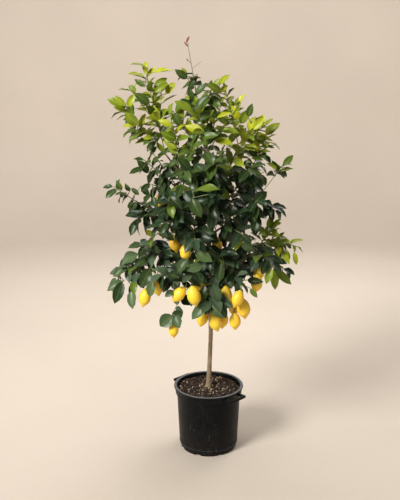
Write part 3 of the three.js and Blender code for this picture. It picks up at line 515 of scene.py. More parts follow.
# Leaves that stand out: root, tip, the way the face looks, half width over length, and youth. A short
# twig joins each to the nearest shoot.
FRONT, ABOVE = (-0.15, -1, 0.35), (0, -0.55, 1)
PLACED = (
    ((-6, -208, 774), (-76, -218, 700), FRONT, 0.25, 0.1),
    ((-2, -210, 772), (48, -222, 695), FRONT, 0.23, 0.1),
    ((41, -200, 787), (68, -206, 708), FRONT, 0.21, 0.1),
    ((6, -205, 843), (41, -210, 772), FRONT, 0.26, 0.1),
    ((-19, -200, 850), (-28, -202, 765), FRONT, 0.22, 0.1),
    ((50, -232, 960), (42, -242, 877), FRONT, 0.30, 0.1),
    ((-7, -245, 1053), (-77, -260, 1022), FRONT, 0.28, 0.22),
    ((-66, -240, 1013), (12, -255, 969), FRONT, 0.26, 0.12),
    ((-28, -220, 939), (-105, -235, 925), FRONT, 0.26, 0.1),
    ((-96, -215, 973), (-135, -225, 910), FRONT, 0.31, 0.1),
    ((-74, -262, 1237), (-35, -272, 1161), FRONT, 0.30, 0.1),
    ((-29, -255, 1240), (-12, -260, 1174), FRONT, 0.24, 0.1),
    ((-165, -240, 1242), (-128, -248, 1183), FRONT, 0.29, 0.1),
    ((-74, -255, 1269), (-165, -275, 1267), ABOVE, 0.24, 0.5),
    ((-62, -262, 1265), (40, -282, 1262), ABOVE, 0.22, 0.45),
    ((-115, -250, 1293), (-135, -265, 1241), FRONT, 0.26, 0.15),
    ((-312, -90, 972), (-382, -110, 927), FRONT, 0.33, 0.1),
    ((-266, -110, 950), (-332, -130, 918), FRONT, 0.28, 0.1),
    ((-258, -165, 922), (-298, -180, 836), FRONT, 0.28, 0.1),
    ((-360, -110, 913), (-426, -125, 867), FRONT, 0.24, 0.1),
    ((-378, -120, 847), (-454, -130, 804), FRONT, 0.22, 0.1),
    ((-382, -125, 853), (-419, -135, 752), FRONT, 0.23, 0.1),
    ((-244, -200, 868), (-285, -208, 810), FRONT, 0.27, 0.1),
    ((162, -190, 870), (232, -215, 868), FRONT, 0.22, 0.1),
    ((-153, -205, 829), (-192, -215, 805), FRONT, 0.31, 0.1),
    ((209, -144, 1147), (195, -170, 1060), FRONT, 0.28, 0.1),
    ((-293, -69, 1166), (-302, -83, 1061), FRONT, 0.24, 0.2),
    ((-259, -36, 1741), (-150, -50, 1752), ABOVE, 0.19, 0.95),
    ((-188, -36, 1657), (-144, -38, 1703), FRONT, 0.31, 0.9),
    ((-229, -22, 1538), (-240, -36, 1611), FRONT, 0.30, 0.85),
    ((-273, -36, 1724), (-352, -50, 1740), ABOVE, 0.22, 0.85),
    ((-280, -36, 1774), (-345, -24, 1781), ABOVE, 0.19, 0.9),
    ((-139, -98, 1464), (-210, -124, 1499), FRONT, 0.26, 0.9),
    ((95, -187, 1574), (25, -175, 1568), ABOVE, 0.24, 1),
    ((90, -35, 1474), (185, -49, 1490), ABOVE, 0.21, 0.93),
    ((178, -28, 1470), (278, -54, 1454), ABOVE, 0.22, 0.88),
    ((161, -138, 1504), (193, -140, 1566), FRONT, 0.24, 0.93),
    ((-63, -39, 1649), (-5, -41, 1699), FRONT, 0.23, 0.12),
    ((-57, -226, 1590), (7, -228, 1640), FRONT, 0.24, 0.12),
    ((-93, -11, 1721), (-149, -13, 1759), FRONT, 0.23, 0.15),
    ((-70, -188, 1598), (-123, -190, 1634), FRONT, 0.21, 0.1),
    ((-41, -198, 1546), (4, -186, 1586), FRONT, 0.31, 0.15),
    ((-159, -196, 714), (-216, -204, 664), FRONT, 0.43, 0.1),
    ((-164, -190, 698), (-122, -196, 736), FRONT, 0.4, 0.1),
    ((-150, -200, 713), (-124, -206, 658), FRONT, 0.4, 0.1),
    ((-261, -22, 1700), (-205, -48, 1740), FRONT, 0.26, 0.9),
    ((-240, -22, 1679), (-182, -10, 1725), FRONT, 0.22, 0.85),
    ((-234, -50, 1661), (-176, -38, 1703), FRONT, 0.19, 0.6),
    ((-249, -22, 1645), (-279, -10, 1704), FRONT, 0.26, 0.35),
    ((-276, -50, 1686), (-322, -38, 1720), FRONT, 0.22, 0.25),
    ((-256, -50, 1611), (-323, -64, 1661), FRONT, 0.23, 0.25),
    ((-245, -36, 1581), (-287, -62, 1628), FRONT, 0.24, 0.3),
    ((-240, -36, 1602), (-214, -24, 1666), FRONT, 0.24, 0.3),
    ((-356, -40, 1598), (-442, -42, 1636), FRONT, 0.22, 0.9),
    ((-361, -41, 1607), (-406, -29, 1649), FRONT, 0.26, 0.85),
    ((-349, -68, 1602), (-320, -70, 1657), FRONT, 0.26, 0.85),
    ((-336, -37, 1556), (-311, -63, 1623), FRONT, 0.24, 0.5),
    ((-358, -26, 1581), (-415, -52, 1602), FRONT, 0.19, 0.95),
    ((-305, -48, 1526), (-362, -50, 1581), FRONT, 0.28, 0.6),
    ((-349, -38, 1556), (-395, -52, 1564), FRONT, 0.19, 0.2),
    ((-242, -22, 1508), (-309, -24, 1534), FRONT, 0.22, 0.45),
    ((-313, -61, 1501), (-356, -63, 1505), FRONT, 0.21, 0.4),
    ((-251, -28, 1474), (-286, -30, 1468), FRONT, 0.29, 0.8),
    ((-229, -38, 1431), (-297, -64, 1428), ABOVE, 0.22, 0.15),
    ((-217, -36, 1383), (-292, -38, 1370), ABOVE, 0.24, 0.15),
    ((-266, -42, 1318), (-316, -56, 1376), FRONT, 0.23, 0.12),
    ((-288, -88, 1344), (-346, -114, 1321), FRONT, 0.19, 0.1),
    ((-114, -50, 1548), (-136, -38, 1611), FRONT, 0.26, 0.6),
    ((-73, -230, 1590), (-145, -244, 1626), FRONT, 0.21, 0.4),
    ((-114, -70, 1514), (-165, -72, 1586), FRONT, 0.21, 0.2),
    ((-84, -60, 1475), (-93, -62, 1560), FRONT, 0.19, 0.55),
    ((-71, -90, 1443), (-54, -78, 1519), FRONT, 0.26, 0.35),
    ((-37, -146, 1479), (34, -160, 1488), FRONT, 0.24, 0.25),
    ((157, -180, 1562), (173, -206, 1618), FRONT, 0.23, 0.36),
    ((135, -6, 1547), (94, -8, 1611), FRONT, 0.21, 0.98),
    ((133, -34, 1530), (162, -48, 1602), FRONT, 0.23, 1),
    ((180, -159, 1508), (224, -147, 1562), FRONT, 0.23, 0.93),
    ((240, -62, 1484), (304, -76, 1535), FRONT, 0.24, 0.48),
    ((216, -48, 1432), (282, -50, 1428), ABOVE, 0.19, 0.88),
    ((202, -74, 1403), (264, -100, 1414), ABOVE, 0.19, 0.53),
    ((182, -44, 1384), (235, -46, 1375), ABOVE, 0.24, 0.26),
    ((322, -56, 1350), (368, -44, 1397), FRONT, 0.22, 0.48),
    ((296, -55, 1332), (249, -43, 1362), ABOVE, 0.21, 0.6),
    ((309, -27, 1321), (374, -29, 1334), ABOVE, 0.19, 0.6),
    ((309, -27, 1325), (281, -29, 1378), FRONT, 0.21, 0.2),
    ((264, -11, 997), (340, 1, 1009), FRONT, 0.26, 0.4),
    ((272, -170, 919), (246, -184, 850), FRONT, 0.24, 0.4),
    ((290, -82, 893), (299, -70, 792), FRONT, 0.19, 0.45),
    ((297, -68, 889), (368, -56, 821), FRONT, 0.19, 0.4),
    ((170, -268, 855), (201, -282, 816), FRONT, 0.22, 0.4),
    ((350, -58, 975), (357, -46, 917), FRONT, 0.22, 0.9),
    ((384, -37, 961), (397, -39, 901), FRONT, 0.19, 0.95),
    ((219, -46, 1032), (286, -48, 1069), FRONT, 0.26, 0.9),
    ((273, -66, 953), (332, -68, 922), FRONT, 0.22, 0.5),
    ((242, -6, 982), (288, -8, 955), FRONT, 0.24, 0.35),
    ((-337, -140, 820), (-371, -128, 739), FRONT, 0.26, 0.1),
    ((-168, -23, 1032), (-235, -25, 1046), FRONT, 0.21, 0.5),
    ((-241, -80, 1047), (-280, -82, 1075), FRONT, 0.28, 0.6),
    ((-258, -92, 1275), (-296, -118, 1243), FRONT, 0.24, 0.1),
    ((-303, -33, 1260), (-263, -35, 1215), FRONT, 0.24, 0.1),
    ((-277, -40, 1176), (-322, -42, 1126), FRONT, 0.22, 0.1),
    ((-231, -10, 1434), (-262, -12, 1390), FRONT, 0.22, 0.2),
    ((-195, -22, 1409), (-234, -24, 1448), FRONT, 0.22, 0.5),
    ((117, -21, 1495), (86, -23, 1443), FRONT, 0.26, 0.63),
    ((-173, -10, 1048), (-131, -12, 1094), FRONT, 0.26, 0.1),
    ((-84, -110, 1423), (-135, -124, 1402), FRONT, 0.26, 0.3),
    ((-152, -4, 1328), (-99, -6, 1301), FRONT, 0.26, 0.15),
    ((13, -200, 1337), (-20, -214, 1293), FRONT, 0.26, 0.2),
    ((100, -43, 1331), (135, -57, 1280), FRONT, 0.26, 0.15),
    ((57, -31, 1215), (107, -19, 1164), FRONT, 0.28, 0.1),
    ((120, -24, 1160), (167, -50, 1186), FRONT, 0.24, 0.1),
    ((79, -170, 1112), (130, -184, 1093), FRONT, 0.29, 0.1),
    ((132, -160, 1023), (194, -148, 994), FRONT, 0.29, 0.1),
    ((166, -59, 938), (220, -61, 902), FRONT, 0.26, 0.1),
    ((-175, -231, 1131), (-208, -245, 1087), FRONT, 0.26, 0.1),
    ((-88, -25, 1683), (-52, -39, 1724), FRONT, 0.26, 0.15),
    ((-76, -30, 1594), (-102, -18, 1649), FRONT, 0.24, 0.15),
    ((-58, -60, 1527), (-52, -74, 1602), FRONT, 0.21, 0.12),
    ((-76, -35, 1619), (-84, -49, 1682), FRONT, 0.24, 0.1),
    ((50, -31, 1662), (-11, -57, 1698), FRONT, 0.21, 0.9),
    ((45, -48, 1699), (86, -62, 1735), FRONT, 0.22, 0.9),
    ((64, 144, 1630), (0, 118, 1656), FRONT, 0.21, 0.93),
    ((50, -31, 1666), (78, -57, 1694), FRONT, 0.24, 0.9),
    ((-97, -5, 1746), (-123, -7, 1767), FRONT, 0.21, 0.7),
    ((-84, -5, 1717), (-37, -19, 1733), ABOVE, 0.19, 0.95),
    ((-235, -12, 1456), (-274, -26, 1409), FRONT, 0.24, 0.15),
    ((-173, -47, 1362), (-217, -35, 1331), FRONT, 0.24, 0.12),
    ((-209, -35, 1304), (-174, -37, 1260), FRONT, 0.24, 0.12),
    ((-352, -36, 1238), (-370, -62, 1276), FRONT, 0.22, 0.3),
    ((-384, -67, 1246), (-407, -81, 1291), FRONT, 0.21, 0.3),
    ((-364, -50, 1226), (-414, -76, 1225), ABOVE, 0.19, 0.15),
    ((-334, -46, 1199), (-376, -34, 1170), FRONT, 0.17, 0.2),
    ((-311, -46, 1221), (-347, -34, 1251), FRONT, 0.22, 0.15),
    ((-122, -170, 1099), (-114, -196, 1021), FRONT, 0.3, 0.05),
    ((-67, -185, 1032), (-107, -187, 1009), FRONT, 0.28, 0.05),
    ((-198, -130, 1075), (-154, -140, 1034), FRONT, 0.28, 0.1),
    ((-185, -95, 1227), (-228, -107, 1190), FRONT, 0.3, 0.05),
    ((-246, -90, 1222), (-224, -100, 1171), FRONT, 0.26, 0.05),
    ((15, -212, 862), (45, -220, 784), FRONT, 0.3, 0.05),
)
PLACED_TRIES = 10
PLACED_BALL = 2.4
PLACED_NEARER = 30 * np.array((0, -1, 0))  # how far its last try comes towards the front
# Buds: length and greatest radius.
BUDS = {
    "leader_bud_a": (30, 4.2), "leader_bud_b": (26, 3.8), "leader_bud_c": (15, 2.6),
    "upper_left_a": (14, 2.6), "upper_right_a": (12, 2.2), "mid_right_a": (10, 2),
}
CORE_STATIONS = (0.35, 0.6, 0.82)
CORE_LEAVES = 6
CORE_BALL = 2.7
CORE_LEAF = 92
CORE_LENGTHS = (75, 125)
CORE_BOW = 6


def spray_of(tree, limb):
    """The first spray that the limb carries."""
    return next(s["spray"] for s in tree["shoots"].values() if s["spray"].startswith(limb))


def add_core(tree, draw):
    """Short twigs along the limbs, which fill the shaded middle of the head."""
    for name, curve in tree["limbs"].items():
        spray = spray_of(tree, name)
        for k, at in enumerate(CORE_STATIONS):
            start = branch_point(curve, at)
            axis = curve_direction(curve, at)
            side, other = across(axis)
            turn = draw() * 2 * math.pi
            reach = between(CORE_LENGTHS, draw())
            way = axis * 0.55 + side * math.cos(turn) + other * math.sin(turn) + UP * 0.35
            shoot = {"bare": 0.15, "stop": 1, "age": "mature", "leaf": CORE_LEAF, "grown": []}
            shoot["curve"] = curve_of(start, start + unit(way) * reach, CORE_BOW)
            shoot["spray"], shoot["leaves"] = spray, CORE_LEAVES
            tree["shoots"][f"{name}_core_{k}"] = shoot


def nearest_branch(tree, point):
    """The shoot that passes nearest to a point, and its own nearest point."""
    best = None
    for name, shoot in tree["shoots"].items():
        for i in range(3, 21):
            place = branch_point(shoot["curve"], i / 20)
            gap = math.dist(place, point)
            if best is None or gap < best[0]:
                best = (gap, name, place)
    return best[1:]


def placed_leaf(root, tip, gaze, half, youth, loosen, draw):
    """A leaf from root to tip. The higher `loosen`, the more it may turn, and the nearer it comes."""
    near = PLACED_NEARER * loosen
    root, chord = root + near, tip + near * 0.6 - root
    reach, chord = np.linalg.norm(chord), unit(chord)
    level = unit(np.array(gaze) - chord * (np.array(gaze) @ chord))
    roll = (draw() - 0.5) * (0.35 + 0.9 * loosen)
    level = level * math.cos(roll) + np.cross(chord, level) * math.sin(roll)
    leaf = Leaf()
    leaf.curl = between((0.3, 0.9), draw())
    bend = leaf.curl / 2
    leaf.length = reach * bend / math.sin(bend)
    leaf.root, leaf.ahead = root, chord * math.cos(bend) + level * math.sin(bend)
    leaf.face = level * math.cos(bend) - chord * math.sin(bend)
    leaf.side = np.cross(leaf.face, leaf.ahead)
    leaf.fold, leaf.half, leaf.sunk, leaf.along, leaf.youth = 0.32, half, SUNK, 1, youth
    return leaf


def add_placed(tree, room, draw):
    """The leaves of PLACED, each in the first room that it finds near its place."""
    for number, (root, tip, *rest) in enumerate(PLACED):
        root, tip = np.array(root, float), np.array(tip, float)
        for attempt in range(PLACED_TRIES):
            leaf = placed_leaf(root, tip, *rest, attempt / PLACED_TRIES, draw)
            samples = leaf.points(SAMPLE_T, SAMPLE_SHARE)
            if room.taken(samples, PLACED_BALL):
                continue
            on, start = nearest_branch(tree, leaf.root)
            twig = {"bare": 0, "stop": 1, "age": "mature", "leaf": leaf.length, "leaves": 0}
            twig["grown"] = [leaf]
            twig["curve"], twig["spray"] = curve_of(start, leaf.root, 4), tree["shoots"][on]["spray"]
            tree["shoots"][f"placed_{number:02d}"] = twig
            room.fill(samples, CORE_BALL)
            room.fill_curve(twig["curve"], SHOOT_RADIUS + 1)
            break


def thicken(tree):
    """Grows the leaves that the solids leave out, in the room that is left between the others."""
    draw = seeded(SEED + 1)
    first = list(tree["shoots"])
    for row in FORKS:
        add_row(tree, row)
        fork = tree["shoots"][row[0]]
        if row[1] in tree["limbs"]:
            fork["spray"] = spray_of(tree, row[1])
    add_core(tree, draw)
    room = Room()
    fill_frame(room, tree, CORE_BALL)
    for shoot in tree["shoots"].values():
        for leaf in shoot["grown"]:
            room.fill(leaf.points(SAMPLE_T, SAMPLE_SHARE), CORE_BALL)
    add_placed(tree, room, draw)
    for name, shoot in tree["shoots"].items():
        share = THICKEN.get(name, THICKEN_USUAL) if name in first else 1
        extra = round(shoot["leaves"] * share)
        span = shoot["stop"] - shoot["bare"]
        shares = [shoot["bare"] + span * (i + 0.5) / max(extra, 1) for i in range(extra)]
        turns = [(i + 0.5) * GOLDEN_ANGLE + 1 for i in range(extra)]
        shoot["grown"] += grow(shoot, shares, turns, TRIES, CORE_BALL, room, draw)


# ---------- closed shapes gathered into one piece ----------
class Shapes:
    """Points in millimetres, faces, and what the materials read, of all that goes into one piece."""

    def __init__(self):
        self.points, self.faces, self.uvs, self.tones, self.finishes = [], [], [], [], []
        self.count = 0

    def add(self, points, faces, uvs, tones, finish):
        self.points.append(points)
        self.faces += [tuple(i + self.count for i in face) for face in faces]
        self.uvs.append(uvs)
        self.tones += tones
        self.finishes += [finish] * len(faces)
        self.count += len(points)

    def build(self, name, materials, smooth=None):
        """The piece as a mesh object, which the caller then sets on the body."""
        mesh = bpy.data.meshes.new(name)
        mesh.from_pydata(np.concatenate(self.points) * MM, [], self.faces)
        corners = np.zeros(len(mesh.loops), int)
        mesh.loops.foreach_get("vertex_index", corners)
        layer = mesh.uv_layers.new(name="UVMap")
        layer.data.foreach_set("uv", np.concatenate(self.uvs)[corners].ravel())
        sizes = [len(face) for face in self.faces]
        tone = mesh.color_attributes.new("tone", "FLOAT_COLOR", "CORNER")
        tone.data.foreach_set("color", np.repeat(np.array(self.tones, float), sizes, axis=0).ravel())
        mesh.polygons.foreach_set("material_index", self.finishes)
        for material in materials:
            mesh.materials.append(material)
        piece = bpy.data.objects.new(name, mesh)
        bpy.context.collection.objects.link(piece)
        if smooth:
            select_only(piece)
            bpy.ops.object.shade_smooth_by_angle(angle=math.radians(smooth))
        return piece


def select_only(*objects):
    bpy.ops.object.select_all(action="DESELECT")
    for thing in objects:
        thing.select_set(True)
    bpy.context.view_layer.objects.active = objects[0]


def blade_grid():
    """Stations, shares and faces of a blade, modelled once: two faces that share their rim and tip."""
    rows, columns = (0.05, 0.14, 0.28, 0.44, 0.6, 0.76, 0.9), (-1, -0.5, 0, 0.5, 1)
    top = [(t, s) for t in rows for s in columns]
    bottom = [(t, s) for t in rows for s in columns[1:-1]]
    tip = len(top)
    points = top + [(1.0, 0.0)] + bottom
    wide, narrow = len(columns), len(columns) - 2

    def upper(r, c):
        return r * wide + c

    def under(r, c):
        return upper(r, c) if c in (0, wide - 1) else tip + 1 + r * narrow + c - 1

    faces, sides = [], []
    for r in range(len(rows)):
        for c in range(wide - 1):
            if r + 1 < len(rows):
                faces.append((upper(r, c), upper(r + 1, c), upper(r + 1, c + 1), upper(r, c + 1)))
                faces.append((under(r, c), under(r, c + 1), under(r + 1, c + 1), under(r + 1, c)))
            else:
                faces.append((upper(r, c), tip, upper(r, c + 1)))
                faces.append((under(r, c), under(r, c + 1), tip))
            sides += [0.0, 1.0]
    base = [upper(0, c) for c in range(wide)] + [under(0, c) for c in range(wide - 2, 0, -1)]
    faces.append(tuple(base))
    sides.append(1.0)
    lifts = [0.5] * len(top) + [0.0] + [-0.5] * len(bottom)
    stations, shares = np.array(points).T.copy()
    lifts = np.where(np.abs(shares) == 1, 0.0, lifts)
    return stations, shares, lifts, faces, sides


BLADE_T, BLADE_SHARE, BLADE_LIFT, BLADE_FACES, BLADE_UNDER = blade_grid()
BLADE_UV = np.stack([0.5 + 0.5 * BLADE_SHARE, BLADE_T], 1)
BLADE_THICKNESS = 0.7
BLADE_TAPER = np.interp(BLADE_T, (0.6, 0.76, 0.9, 1.0), (1.0, 0.95, 0.72, 0.6))


# How far a blade that meets another may swing up or down and sideways on its stalk, in degrees, the
# smallest swing first.
SWING_STEPS = range(-32, 33, 8)
SWINGS = sorted(
    ((up, aside) for up in SWING_STEPS for aside in SWING_STEPS), key=lambda s: (math.hypot(*s), s)
)


class Blades:
    """The blades made so far. A new one that meets one of them swings aside.

    Where no swing clears it, it stays as it grew and passes through the other blade.
    """

    def __init__(self):
        self.boxes, self.trees = [], []

    def clear(self, points, tree):
        """Whether a blade passes through none of those made so far."""
        if not self.boxes:
            return True
        boxes = np.array(self.boxes)
        near = np.all((boxes[:, 0] <= points.max(0)) & (boxes[:, 1] >= points.min(0)), axis=1)
        return not any(self.trees[i].overlap(tree) for i in np.flatnonzero(near))

    def add(self, leaf, points):
        """The blade's points where it comes to stand, and the turn that brought it there."""
        first = None
        for up, aside in SWINGS:
            swing = Matrix.Rotation(math.radians(up), 3, Vector(leaf.side))
            swing = np.array(swing @ Matrix.Rotation(math.radians(aside), 3, Vector(leaf.face)))
            swung = leaf.root + (points - leaf.root) @ swing.T
            tree = BVHTree.FromPolygons(swung.tolist(), BLADE_FACES)
            first = first or (swung, swing, tree)
            if self.clear(swung, tree):
                break
        else:
            swung, swing, tree = first
        self.boxes.append((swung.min(0), swung.max(0)))
        self.trees.append(tree)
        return swung, swing


def add_leaf(shapes, leaf, youth, draw, made):
    """A blade with waved edges and a hanging tip, on its stalk."""
    waves, phase, depth = 1.3 + 1.4 * draw(), draw() * 2 * math.pi, 0.09 + 0.14 * draw()
    twist = (draw() - 0.5) * 0.5
    share = BLADE_SHARE * BLADE_TAPER
    width = leaf.half_width(BLADE_T) * np.abs(share)
    wave = np.sin(2 * math.pi * waves * BLADE_T + phase + 1.1 * np.sign(BLADE_SHARE))
    lift = BLADE_LIFT * BLADE_THICKNESS + width * np.abs(BLADE_SHARE) * depth * wave
    lift += width * np.sign(BLADE_SHARE) * twist * BLADE_T**2
    lift -= width * math.sin(leaf.fold) * (1 - np.abs(BLADE_SHARE)) * 0.9
    points, swing = made.add(leaf, leaf.points(BLADE_T, share, lift))
    tone = (youth, draw(), 0.0, 1.0)
    tones = [(tone[0], tone[1], under, 1.0) for under in BLADE_UNDER]
    shapes.add(points, BLADE_FACES, BLADE_UV, tones, 0)
    start = leaf.root - leaf.ahead * leaf.sunk * 0.5
    knee = leaf.root + leaf.ahead * leaf.length * PETIOLE * 0.6 + UP * 0.3
    end = leaf.root + swing @ (leaf.points(np.array([PETIOLE + 0.03]), np.zeros(1))[0] - leaf.root)
    add_tube(shapes, np.array([start, knee, end]), (1.15, 0.95, 1.1), 4, (youth, tone[1], 0, 1), 1)


def add_tube(shapes, path, radii, sides, tone, finish, uneven=None):
    """A capped tube along a path. `uneven` scales the radius by ring and side."""
    count = len(path)
    ways = np.gradient(path, axis=0)
    ways /= np.linalg.norm(ways, axis=1)[:, None]
    side = across(ways[0])[0]
    turns = turns_of(sides)
    rings = []
    for i in range(count):
        side = unit(side - ways[i] * (side @ ways[i]))
        other = np.cross(ways[i], side)
        reach = radii[i] * (uneven[i] if uneven is not None else 1)
        ring = np.cos(turns)[:, None] * side + np.sin(turns)[:, None] * other
        rings.append(path[i] + ring * np.broadcast_to(reach, (sides,))[:, None])
    faces = []
    for r in range(count - 1):
        for k in range(sides):
            a, b = r * sides + k, r * sides + (k + 1) % sides
            faces.append((a, b, b + sides, a + sides))
    faces.append(tuple(range(sides - 1, -1, -1)))
    faces.append(tuple((count - 1) * sides + k for k in range(sides)))
    lengths = np.concatenate([[0], np.cumsum(np.linalg.norm(np.diff(path, axis=0), axis=1))])
    uvs = np.stack([np.tile(np.arange(sides) / sides, count), np.repeat(lengths * MM, sides)], 1)
    shapes.add(np.concatenate(rings), faces, uvs, [tone] * len(faces), finish)


def shoot_path(curve, step=9):
    """The branch's own straight stretches, with the bend between them rounded off."""
    count = max(4, math.ceil(math.dist(curve[0], curve[2]) / step))
    return evened(np.array([branch_point(curve, i / count) for i in range(count + 1)]), 3)


YOUNG_FROM, YOUNG_OVER = 1230, 330  # leaves are younger above this height, over this much
YOUTH = {"young": 0.62, "other": 0.24, "painted_light_spray": 0.3, "late": 0.4, "late_share": 0.05}
YOUTH_STRAY = {"young": 0.75, "other": 0.15}
# Painted light: the sprays named here get paler leaves than their age gives, to light up the shaded right
# shoulder of the head.
PAINTED_LIGHT_SPRAYS = "upper_right"


def youth_of(shoot, leaf, draw):
    """From 0, dark and full grown, to 1, pale and new: by age, height and nearness to the shoot's end. The
    upper right sprays are made paler still, as painted light on a shoulder of the head that lies in shade.
    """
    if leaf.youth is not None:
        return leaf.youth
    young = shoot["age"] == "young"
    high = min(max((leaf.root[2] - YOUNG_FROM) / YOUNG_OVER, 0), 1)
    base = YOUTH["young"] if young else YOUTH["other"] * high
    if shoot["spray"].startswith(PAINTED_LIGHT_SPRAYS):
        base += YOUTH["painted_light_spray"]
    stray = (draw() - 0.5) * YOUTH_STRAY["young" if young else "other"]
    if draw() < YOUTH["late_share"]:
        base += YOUTH["late"]
    return min(max(base + 0.25 * (leaf.along - 0.5) * (0.3 + high) + stray, 0), 1)


# Twigs: the radius at the start and how much it loses by the end.
TWIG, THIN_TWIG, BUD_TWIG = (2.5, 1.25), (1.9, 0.7), (1.3, 0.4)
THIN_TWIGS = ("lower_front_left_b", "mid_right_a")
TWIG_KNOT = 0.45  # how much thicker a twig is where a leaf joins it


def add_shoot(shapes, name, shoot, draw, made):
    """A twig, thicker where each leaf joins it, with its leaves."""
    path = shoot_path(shoot["curve"])
    shares = np.linspace(0, 1, len(path))
    radius, lost = THIN_TWIG if name in THIN_TWIGS else TWIG
    if name.startswith("leader_bud") or name == "leader_twig":
        radius, lost = BUD_TWIG
    radii = radius - lost * shares
    for leaf in shoot["grown"]:
        radii = radii + TWIG_KNOT * np.exp(-(((shares - leaf.along) * len(path)) ** 2) / 1.2)
    youth = 0.85 if shoot["age"] == "young" else 0.25
    add_tube(shapes, path, radii, 6, (youth, draw(), 0, 1), 1)
    for leaf in shoot["grown"]:
        add_leaf(shapes, leaf, youth_of(shoot, leaf, draw), draw, made)
    if name in BUDS:
        add_bud(shapes, shoot["curve"], *BUDS[name], draw)


def add_bud(shapes, curve, length, radius, draw):
    """A pointed bud, still closed, at the end of a shoot."""
    way = curve_direction(curve, 1)
    shares = np.linspace(0, 1, 7)
    path = curve[2] + way * length * (shares - 1)[:, None]
    radii = np.interp(shares, (0, 0.15, 0.45, 0.7, 0.9, 1), (0.4, 0.75, 1, 0.8, 0.4, 0.1)) * radius
    add_tube(shapes, path, radii, 6, (0.5, draw(), 0, 1), 2)


CALYX_LOBES = 5
# The calyx, ring by ring: height over the stalk's end, radius between the lobes and at them.
CALYX_RINGS = ((2.2, 2.3, 2.3), (1.2, 4.0, 4.4), (-1.2, 4.6, 7.0), (-2.4, 4.4, 6.4))


def add_stalk(shapes, curve, draw):
    """A lemon's stalk, and the five-lobed calyx that it ends in."""
    shares = np.linspace(0, 1, 9)
    path = np.array([curve_point(curve, t) for t in shares])
    radii = 1.5 + 0.9 * shares**3
    tone = (0.35, draw(), 0, 1)
    add_tube(shapes, path, radii, 6, tone, 1)
    axis = -curve_direction(curve, 1)
    side, other = across(axis)
    count = CALYX_LOBES * 2
    rings = []
    for height, inner, outer in CALYX_RINGS:
        reach = np.where(np.arange(count) % 2, inner, outer)
        turns = turns_of(count)
        ring = side * np.cos(turns)[:, None] + other * np.sin(turns)[:, None]
        rings.append(curve[2] + axis * height + ring * reach[:, None])
    faces = [
        (r + (k + 1) % count, r + k, r + count + k, r + count + (k + 1) % count)
        for r in range(0, (len(rings) - 1) * count, count)
        for k in range(count)
    ]
    faces.append(tuple(range(count)))
    faces.append(tuple((len(rings) - 1) * count + k for k in range(count - 1, -1, -1)))
    uvs = np.zeros((len(rings) * count, 2))
    shapes.add(np.concatenate(rings), faces, uvs, [tone] * len(faces), 1)


# ---------- finishes ----------
class Nodes:
    """A node tree to which nodes are added with their inputs in one call."""

    def __init__(self, tree):
        self.tree = tree

    def add(self, kind, inputs=None, **settings):
        node = self.tree.nodes.new(kind)
        for name, value in settings.items():
            setattr(node, name, value)
        for key, value in (inputs or {}).items():
            self.give(node.inputs[key], value)
        return node

    def give(self, socket, value):
        """Links a socket to another, or sets its value."""
        if isinstance(value, bpy.types.NodeSocket):
            self.tree.links.new(value, socket)
        else:
            socket.default_value = value

    def maths(self, operation, *values):
        return self.add("ShaderNodeMath", dict(enumerate(values)), operation=operation).outputs[0]

    def times(self, first, second):
        return self.maths("MULTIPLY", first, second)

    def mix(self, share, first, second):
        """Two colours mixed by a share; the sockets 6 and 7 are the node's colours A and B."""
        node = self.add("ShaderNodeMix", {0: share, 6: first, 7: second}, data_type="RGBA")
        return node.outputs[2]

    def stain(self, colour, mask, amount, tint):
        """A colour with a tint laid over it, where the mask is and by the amount."""
        return self.mix(self.times(mask, amount), colour, rgb(tint))

    def height(self, place):
        return self.add("ShaderNodeSeparateXYZ", {0: place}).outputs["Z"]

    def noise(self, vector, scale, detail=3.0, roughness=0.55):
        settings = {"Vector": vector, "Scale": scale, "Detail": detail, "Roughness": roughness}
        return self.add("ShaderNodeTexNoise", settings).outputs["Fac"]

    def ramp(self, value, low, high, low_to=0.0, high_to=1.0):
        """A value stretched between two limits and held there."""
        inputs = {"Value": value, "From Min": low, "From Max": high, "To Min": low_to, "To Max": high_to}
        return self.add("ShaderNodeMapRange", inputs).outputs["Result"]

    def spread(self, vector, scale):
        """The vector scaled by its own factor along each axis."""
        node = self.add("ShaderNodeVectorMath", {0: vector, 1: scale}, operation="MULTIPLY")
        return node.outputs[0]

    def bump(self, height, strength, distance):
        inputs = {"Height": height, "Strength": strength, "Distance": distance}
        return self.add("ShaderNodeBump", inputs).outputs["Normal"]

    def group(self, make, **inputs):
        """A use of the group that `make` makes."""
        return self.add("ShaderNodeGroup", inputs, node_tree=group_of(make)).outputs


def new_group(name, inputs, outputs):
    """A shader node group with value or vector inputs, and its ends."""
    tree = bpy.data.node_groups.new(name, "ShaderNodeTree")
    for label, value in inputs:
        kind = "NodeSocketVector" if value is None else "NodeSocketFloat"
        socket = tree.interface.new_socket(label, in_out="INPUT", socket_type=kind)
        if value is not None:
            socket.default_value = value
    for label in outputs:
        tree.interface.new_socket(label, in_out="OUTPUT", socket_type="NodeSocketFloat")
    nodes = Nodes(tree)
    return nodes, nodes.add("NodeGroupInput").outputs, nodes.add("NodeGroupOutput").inputs


def mottle_group():
    """Broad and fine unevenness, mixed, for colour and roughness."""
    nodes, given, out = new_group("Mottle", (("Vector", None), ("Scale", 20.0)), ("Broad", "Fine"))
    broad = nodes.noise(given["Vector"], given["Scale"], 2.0)
    fine = nodes.noise(given["Vector"], nodes.times(given["Scale"], 7.0), 4.0)
    nodes.tree.links.new(nodes.ramp(broad, 0.3, 0.7), out["Broad"])
    nodes.tree.links.new(nodes.ramp(fine, 0.3, 0.7), out["Fine"])
    return nodes.tree


